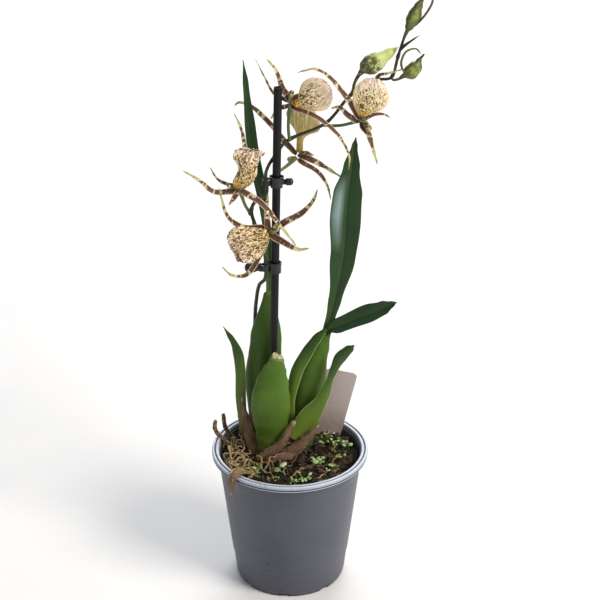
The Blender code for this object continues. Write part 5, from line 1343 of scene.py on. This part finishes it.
def lip_between(name, left, right, thickness=0.6, bulge=0.0, crown=0.0, ruffle=0.0, waves=5, ragged=0.0,
                seed=0.0, along=56, across=40):
    """A lip spanned between its left and right edges, in mm, bulged to the front and waved at the margin."""
    lefts = smooth_path([on_mix(p) for p in left], along)
    rights = smooth_path([on_mix(p) for p in right], along)
    rings, share, lay = [], [], []
    done = 0.0
    for i in range(along + 1):
        t = i / along
        middle = (lefts[i] + rights[i]) / 2
        before, after = max(i - 1, 0), min(i + 1, along)
        tangent = (lefts[after] + rights[after] - lefts[before] - rights[before]).normalized()
        span = (rights[i] - lefts[i]) / 2
        normal = span.cross(tangent).normalized()
        if normal.y > 0:
            normal = -normal
        done += ((lefts[i] + rights[i] - lefts[max(i - 1, 0)] - rights[max(i - 1, 0)]) / 2).length / MM
        half = span.length / MM
        upper, lower, share_up, lay_up = [], [], [], []
        for k in range(across + 1):
            lean = 2 * k / across - 1
            rim = max(abs(lean) ** 3, max(0.0, (t - 0.55) / 0.45) ** 2)
            turn = math.atan2(lean, 1.2 - t)
            lift = bulge * (1 - lean * lean) * math.sin(math.pi * min(1, 0.15 + 0.75 * t))
            lift += ruffle * rim * math.sin(waves * turn * 2 + seed)
            lift += ruffle * rim * noise.noise(Vector((lean * 2.5, t * 3, seed)))
            torn = ragged * noise.fractal(Vector((lean * 3.5, seed, 2)), 0.8, 2.2, 3)
            push = (crown * (1 - lean * lean) + torn) * t ** 3
            depth = thickness / 2 * (1 - 0.7 * rim)
            spot = middle + span * lean + (normal * lift + tangent * push) * MM
            upper.append(spot + normal * depth * MM)
            lower.append(spot - normal * depth * MM)
            share_up.append(((lean + 1) / 2, t, 0))
            lay_up.append((half * lean, done + push, seed))
        rings.append(upper + lower[::-1])
        share.append(share_up + [(x, y, 1) for x, y, _ in reversed(share_up)])
        lay.append(lay_up + lay_up[::-1])
    return loft(name, rings, {"share": share, "lay_mm": lay})


# Places are in mm. "plain" is the lip's tint, "lip" its left and right edges, "crest" the foot and two ends
# of its teeth. Each sepal has its places from the centre, its share of SEPAL_MM and its twist in degrees.
FLOWERS = {
    "a": {
        "plain": 0.2,
        "centre": (-15, 2, 183),
        "stalk": ((-26, 10.6, 188), (-24.5, 8.6, 185), (-20, 6, 181.5), (-15.5, 2.6, 183)),
        "lip": (((-16.2, -1, 186.6), (-19.5, -4, 188.4), (-30, -7, 190.6), (-39, -9, 191.2),
            (-43.6, -10, 187.5)), ((-14.6, -2, 181), (-16, -4, 176), (-19.8, -7, 169), (-26, -9.5, 165),
            (-35.5, -11, 164.2))),
        "look": {"bulge": 2.4, "crown": 1.5, "ruffle": 1.0, "ragged": 3.2, "seed": 1.0},
        "crest": ((-16.4, -3.2, 184), (-19.6, -5.2, 185.2), (-18.6, -5, 182.4)),
        "column": ((-16, 1, 182.4), (-13.2, -2.2, 185.4), (-10, -4.6, 188.6), (-7.6, -5.6, 190.6)),
        "column_mm": 4.6,
        "sepals": {
            "up_left": (((-4, 1, 3), (-18, 0, 4), (-29, -5, 15), (-34, -8, 37)), 1.1, 20),
            "up": (((-0.5, 2, 4), (-1, 3, 17), (0, 2, 28)), 1.1, 10),
            "up_right": (((3.4, -1, 2), (12, -3, 9), (24, -6, 17), (32, -8, 27), (35, -9, 36)), 1.2, -25),
            "right": (((3.6, -2, -2), (12, -5, -6), (21, -7, -10), (29, -8, -9)), 1.2, 15),
            "down": (((-1, -1, -4.5), (-6, -1, -17), (-15, -3, -31), (-26, -6, -31),
                (-33, -9, -23)), 1.0, 30),
        },
    },
    "b": {
        "plain": 0.3,
        "centre": (-35, 6, 214),
        "stalk": ((-28, 11, 193), (-29.4, 10.6, 196.6), (-32, 10, 202), (-35, 6.6, 213.5)),
        "lip": (((-38.6, 3, 216.6), (-39.6, 1, 222), (-36.6, -0.5, 228), (-35.6, -1, 233),
            (-38.8, -1.4, 240), (-37, -1, 246.4)), ((-31, 3, 216), (-26, 1.4, 220), (-22.6, 0, 226.5),
            (-22, -1, 233), (-20.4, -1, 238.6), (-15.6, -0.6, 243.4))),
        "look": {"bulge": 1.6, "crown": 1.6, "ruffle": 0.9, "ragged": 1.6, "seed": 2.0},
        "crest": ((-35.6, 1.2, 219), (-38, 0.2, 221.4), (-34.4, 0, 222)),
        "column": ((-35, 6, 214), (-38, 4.6, 215.4), (-41.4, 3.2, 217), (-43.6, 2, 219.4)),
        "column_mm": 2.9,
        "sepals": {
            "left": (((-3.5, 0, -1), (-18, -2, -1), (-28, -4, 8), (-39, -6, 16)), 1.0, 20),
            "up_left": (((-3.2, 1, 2.2), (-9, 2, 3.4), (-16, 3, 7), (-21, 3, 16)), 0.7, 10),
            "right": (((3.2, -1.6, -1.6), (16, -6, -9), (28, -10, -23), (40, -14, -37)), 1.1, -30),
            "down_left": (((-2.6, -1, -3.2), (-5, -1.6, -7), (-8, -2, -11)), 1.0, 0),
            "up": (((0, 2.4, 3.4), (4, 7, 19), (2, 9, 39), (-3, 8, 53)), 1.0, 20),
        },
    },
    "c": {
        "plain": 0.9,
        "centre": (1, 20, 273),
        "stalk": ((1, 23.4, 245), (0, 21.4, 248), (-0.5, 22, 258), (1, 20.6, 272.5)),
        "lip": (((2.6, 18.6, 275), (6.2, 16.4, 277.2), (7.0, 15, 283), (9.4, 14, 289), (15, 13, 292.8),
            (21.6, 13, 293)), ((3.4, 18.4, 271.6), (9, 16.4, 270.4), (14, 15, 269.6), (20, 14, 268.8),
            (27, 13.4, 271), (30.4, 13, 277.5))),
        "look": {"bulge": 2.2, "crown": 3.4, "ruffle": 0.55, "ragged": 0.5, "seed": 3.0},
        "crest": ((3.6, 16.6, 273), (6.4, 14.8, 274.6), (6.6, 15, 271.8)),
        "column": ((1, 20, 272), (0.6, 18.4, 276), (1.4, 16, 280.4), (2.8, 14.4, 283.4)),
        "column_mm": 3.8,
        "sepals": {
            "up_left": (((-1.4, 0, 3.6), (-6, 2, 11), (-10, 0, 23), (-16, -4, 32)), 1.1, 25),
            "thin_left": (((-3.4, 1.2, 1.6), (-7, 3, 3.4), (-13, 5, 7), (-18, 5, 17),
                (-24, 3, 30)), 0.6, 20),
            "right": (((2.6, -2.6, -3), (15, -8, -6), (26, -10, -13), (35, -12, -22), (41, -14, -34),
                (41, -14, -44)), 0.8, -30),
            "down_left": (((-3.2, 2, -3), (-7, 5, -5), (-11, 7, -9), (-14, 8, -14)), 0.8, 10),
            "behind": (((3, 3, 3), (10, 4, 5), (20, 3, 5), (29, 1, 2)), 0.9, 0),
        },
    },
    "d": {
        "plain": 1.0,
        "centre": (6, 29, 231),
        "stalk": ((-13, 19.8, 231), (-10.6, 20.6, 231), (-8, 22, 223), (-3, 26, 224), (5.4, 29, 230.4)),
        "lip": (((4.8, 30, 234), (5.2, 30, 243), (4.4, 30.4, 249.5), (-0.8, 31, 257.5), (-2, 31, 263),
            (0.6, 31, 267)), ((10, 30, 234), (10.4, 30, 243), (14, 30, 247), (21.0, 30, 249.8),
            (22, 30.5, 255), (19.4, 31, 262))),
        "look": {"bulge": 1.6, "crown": 4.4, "ruffle": 0.9, "ragged": 1.2, "seed": 4.0},
        "crest": (),
        "column": ((6, 29, 231), (9, 28, 233.6), (12.4, 26, 234.8), (15, 25, 233.6)),
        "column_mm": 3.4,
        "sepals": {
            "left": (((-3, 3, 3), (-10, 6, 10), (-19, 8, 21), (-32, 8, 34), (-41, 7, 38),
                (-45, 5, 36)), 1.0, 20),
            "thick_right": (((4, -1.4, 0.6), (17, -4, -5), (32, -9, -13)), 1.2, -20),
            "thin_right": (((2.4, -2.6, -3), (14, -6, -9), (21, -9, -18), (24, -11, -29)), 0.8, 10),
            "back_right": (((4, 2.4, -2), (8, 5, 0), (12, 9, -2)), 0.9, 0),
            "back_left": (((-3, 3, -2.6), (-6, 6, -4), (-6, 11, -8)), 1.0, 0),
        },
    },
    "e": {
        "plain": 0.85,
        "centre": (50, 10, 264),
        "stalk": ((25, 21.6, 257), (27, 20, 256.6), (36, 16, 258), (44, 12, 261), (49.5, 10.4, 263.6)),
        "lip": (((48.4, 8, 267), (46.2, 6, 272), (43.8, 4.5, 279.3), (45, 3.5, 288), (50.6, 3, 294)),
            ((53, 8, 267), (57.2, 6.5, 269.8), (63, 5, 272), (68, 4, 276.8), (68.8, 3, 284),
            (65.6, 3, 291))),
        "look": {"bulge": 2.2, "crown": 3.0, "ruffle": 0.55, "ragged": 0.5, "seed": 5.0},
        "crest": ((50.6, 5.6, 268.8), (49.6, 4, 271.6), (52.6, 4, 271.2)),
        "column": ((50, 8.4, 266.4), (51.6, 6.2, 265), (54, 4.4, 261.6), (56.6, 3.4, 257.4)),
        "column_mm": 4.6,
        "sepals": {
            "up_left": (((-2.6, -1.6, 3), (-8, -3, 13), (-13, -4, 20), (-22, -5, 31), (-32, -6, 37),
                (-44, -7, 35)), 1.0, 25),
            "left": (((-3.6, -1, -0.4), (-10, -1, 4), (-15, -1, 9), (-21, 0, 8)), 1.0, 10),
            "down": (((1.4, -2, -4), (5, -3, -9), (8, -4, -18), (12, -4, -31)), 1.2, -15),
            "right": (((4, 0.6, 1), (9, 2, 3), (16, 3, 3), (21, 4, 0)), 0.7, 10),
            "behind": (((3, 3.2, 4), (7, 4, 17), (11, 1, 30), (18, -1, 33), (29, -1, 36)), 0.8, 0),
        },
    },
}
for number, (mark, flower) in enumerate(FLOWERS.items()):
    centre = Vector(flower["centre"])
    stalk = threads(f"stalk_path_{mark}", [(flower["stalk"], ((0, STALK_MM), (0.7, STALK_MM),
        (1, STALK_MM + 1.1)))])
    stalk = grow(f"stalk_{mark}", stalk, stem_tree, stalk_skin, Sides=12, Bumps=0.0002)
    keep(f"stalk_{mark}", stalk, stalk_skin, "flower_stalk", f"flower_{mark}_stalk")
    for order, (place, (points, share, twist)) in enumerate(flower["sepals"].items()):
        widths = [(t, SEPAL_MM * share * w) for t, w in SEPAL_SHAPE]
        rooted = [centre + Vector(points[0]) * 0.35] + [centre + Vector(p) for p in points]
        sepal = blade(f"sepal_{mark}_{place}", rooted, widths, 0.7, facing=(0.1, -1, 0.35), fold=0.32,
            rib=0.15, twist=twist, ruffle=0.28, wave=9, seed=number * 7 + order, along=56, across=12)
        keep(f"sepal_{mark}_{place}", tinted_mesh(sepal, number * 3.1 + order * 0.7), sepal_skin,
            "flower_sepal", f"flower_{mark}_sepal_{place}")
    lip = lip_between(f"lip_{mark}", *flower["lip"], **flower["look"])
    keep(f"lip_{mark}", tinted_mesh(lip, flower["plain"]), lip_back if mark == "d" else lip_skin,
        "flower_lip", f"flower_{mark}_lip")
    if flower["crest"]:
        teeth = []
        foot, left, right = (Vector(p) for p in flower["crest"])
        for number_of_tooth, end in enumerate((left, (left + right) / 2, right)):
            teeth.append(pod(f"tooth_{number_of_tooth}", (foot, foot.lerp(end, 0.5), end),
                ((0, 1.0), (0.6, 2.3), (1, 1.2)), around=12, along=14, round_end=0.2))
        keep(f"crest_{mark}", join(f"crest_{mark}", teeth), crest_skin, "flower_lip")
    wide = flower["column_mm"]
    column = pod(f"column_{mark}", flower["column"], ((0, wide * 0.7), (0.35, wide * 0.8), (0.75, wide),
        (0.9, wide * 0.9), (1, wide * 0.5)), ribs=3, rib_depth=0.1, lumps=0.2, around=24, along=36,
        round_end=0.12)
    keep(f"column_{mark}", column, column_skin, "flower_stalk")

# ---------------------------------------------------------------- buds
# Three unopened flowers near the tip. The two youngest have one long sepal sprung free in a loop.
bud_skin, tree, shader = start_material("waxy green bud", 0.42, ior=1.45, Subsurface_Weight=0.1,
    Subsurface_Scale=0.0015)
place = add(tree, "ShaderNodeTexCoord").outputs["Object"]
share = add(tree, "ShaderNodeAttribute", attribute_name="share").outputs["Vector"]
split = add(tree, "ShaderNodeSeparateXYZ", {"Vector": share})
fall = add(tree, "ShaderNodeValToRGB", {"Fac": split.outputs["Y"]}, stops=((0.0, "4B5A30"), (0.4, "565A2C"),
    (0.62, "86964A"), (0.85, "55582C"), (1.0, "3E3C22")))
seam = add(tree, "ShaderNodeMath", {0: split.outputs["X"], 1: 18.85}, operation="MULTIPLY")
seam = add(tree, "ShaderNodeMath", {0: seam}, operation="COSINE")
seamed = stain(tree, fall, colour("4A3A26"), seam, 0.72, 0.95, 0.8)
blot = add(tree, "ShaderNodeTexNoise", {"Vector": place, "Scale": 300.0, "Detail": 4.0})
marked = stain(tree, seamed, colour("4F4A2A"), blot, 0.47, 0.6, 0.75)
paint(shader, marked, blot, 0.3, 0.0005)

# The oldest bud is about to open: pale yellow-green, with the blotches of the sepals inside showing through.
pale_bud, tree, shader = start_material("opening pale bud", 0.42, ior=1.45, Subsurface_Weight=0.15,
    Subsurface_Scale=0.0015)
place = add(tree, "ShaderNodeTexCoord").outputs["Object"]
share = add(tree, "ShaderNodeAttribute", attribute_name="share").outputs["Vector"]
split = add(tree, "ShaderNodeSeparateXYZ", {"Vector": share})
fall = add(tree, "ShaderNodeValToRGB", {"Fac": split.outputs["Y"]}, stops=((0.0, "53663A"), (0.4, "66763E"),
    (0.55, "8E9A5A"), (0.75, "CBD48A"), (1.0, "C0CA72")))
blot = add(tree, "ShaderNodeTexNoise", {"Vector": place, "Scale": 330.0, "Detail": 4.0, "Distortion": 1.0})
low = add(tree, "ShaderNodeMapRange", {"Value": split.outputs["Y"], "From Min": 0.68, "From Max": 0.84,
    "To Min": 0.0, "To Max": 0.35})
lowered = add(tree, "ShaderNodeMath", {0: blot, 1: low}, operation="SUBTRACT")
marked = stain(tree, fall, colour("463A1A"), lowered, 0.42, 0.5, 0.85)
paint(shader, marked, blot, 0.3, 0.0005)
# Places and (place, diameter) pairs are in mm; the loop is the sepal that has sprung free.
BUDS = {
    "f": {
        "path": ((43, 22, 278.5), (44.6, 21.6, 281.6), (45.5, 22, 286), (48, 21, 292), (53, 20, 298),
            (61, 20, 303), (69, 21, 308), (76, 23.5, 312)),
        "widths": ((0, 2.1), (0.44, 2.5), (0.5, 4), (0.58, 11.6), (0.63, 14), (0.7, 13), (0.84, 7.4),
            (1, 1.2)),
        "loop": None,
        "finish": pale_bud,
    },
    "g": {
        "path": ((71, 18, 291), (72.6, 17, 290.2), (76, 17, 291), (79, 17, 293), (84, 16, 296.5),
            (88, 16, 301), (90, 16, 305), (93, 15, 309)),
        "widths": ((0, 1.6), (0.3, 1.9), (0.42, 3), (0.56, 10.5), (0.68, 9.5), (0.82, 4), (0.9, 1.8),
            (1, 1.0)),
        "loop": ((82.4, 15.4, 295.4), (78.6, 13, 298), (77, 12, 304), (80, 12, 311), (86.5, 13, 313),
            (90.5, 14.4, 309)),
        "finish": bud_skin,
    },
    "h": {
        "path": ((79, 17, 319.6), (79.6, 16.8, 322), (81.6, 16, 327), (84.6, 16, 334), (88, 16, 342),
            (92.4, 16, 349.6)),
        "widths": ((0, 2.0), (0.3, 2.6), (0.42, 6), (0.54, 9.6), (0.64, 9.6), (0.78, 6), (0.9, 2.4),
            (1, 1.1)),
        "loop": ((82.6, 14.6, 328), (87.6, 13.4, 330.6), (92.6, 13, 336.6), (96.6, 14, 343.6),
            (96.8, 15, 349), (93.6, 15.6, 350), (91, 16, 347)),
        "finish": bud_skin,
    },
}
for mark, bud in BUDS.items():
    shells = [pod(f"bud_shell_{mark}", bud["path"], bud["widths"], ribs=3, rib_depth=0.07, lumps=0.2,
        around=36, along=72, round_end=0.02)]
    if bud["loop"]:
        shells.append(pod(f"bud_loop_{mark}", bud["loop"], ((0, 1.6), (0.5, 1.7), (0.9, 1.2), (1, 0.7)),
            around=10, along=48, round_end=0.04))
    keep(f"bud_shell_{mark}", join(f"bud_shell_{mark}", shells), bud["finish"], "bud", f"bud_{mark}")
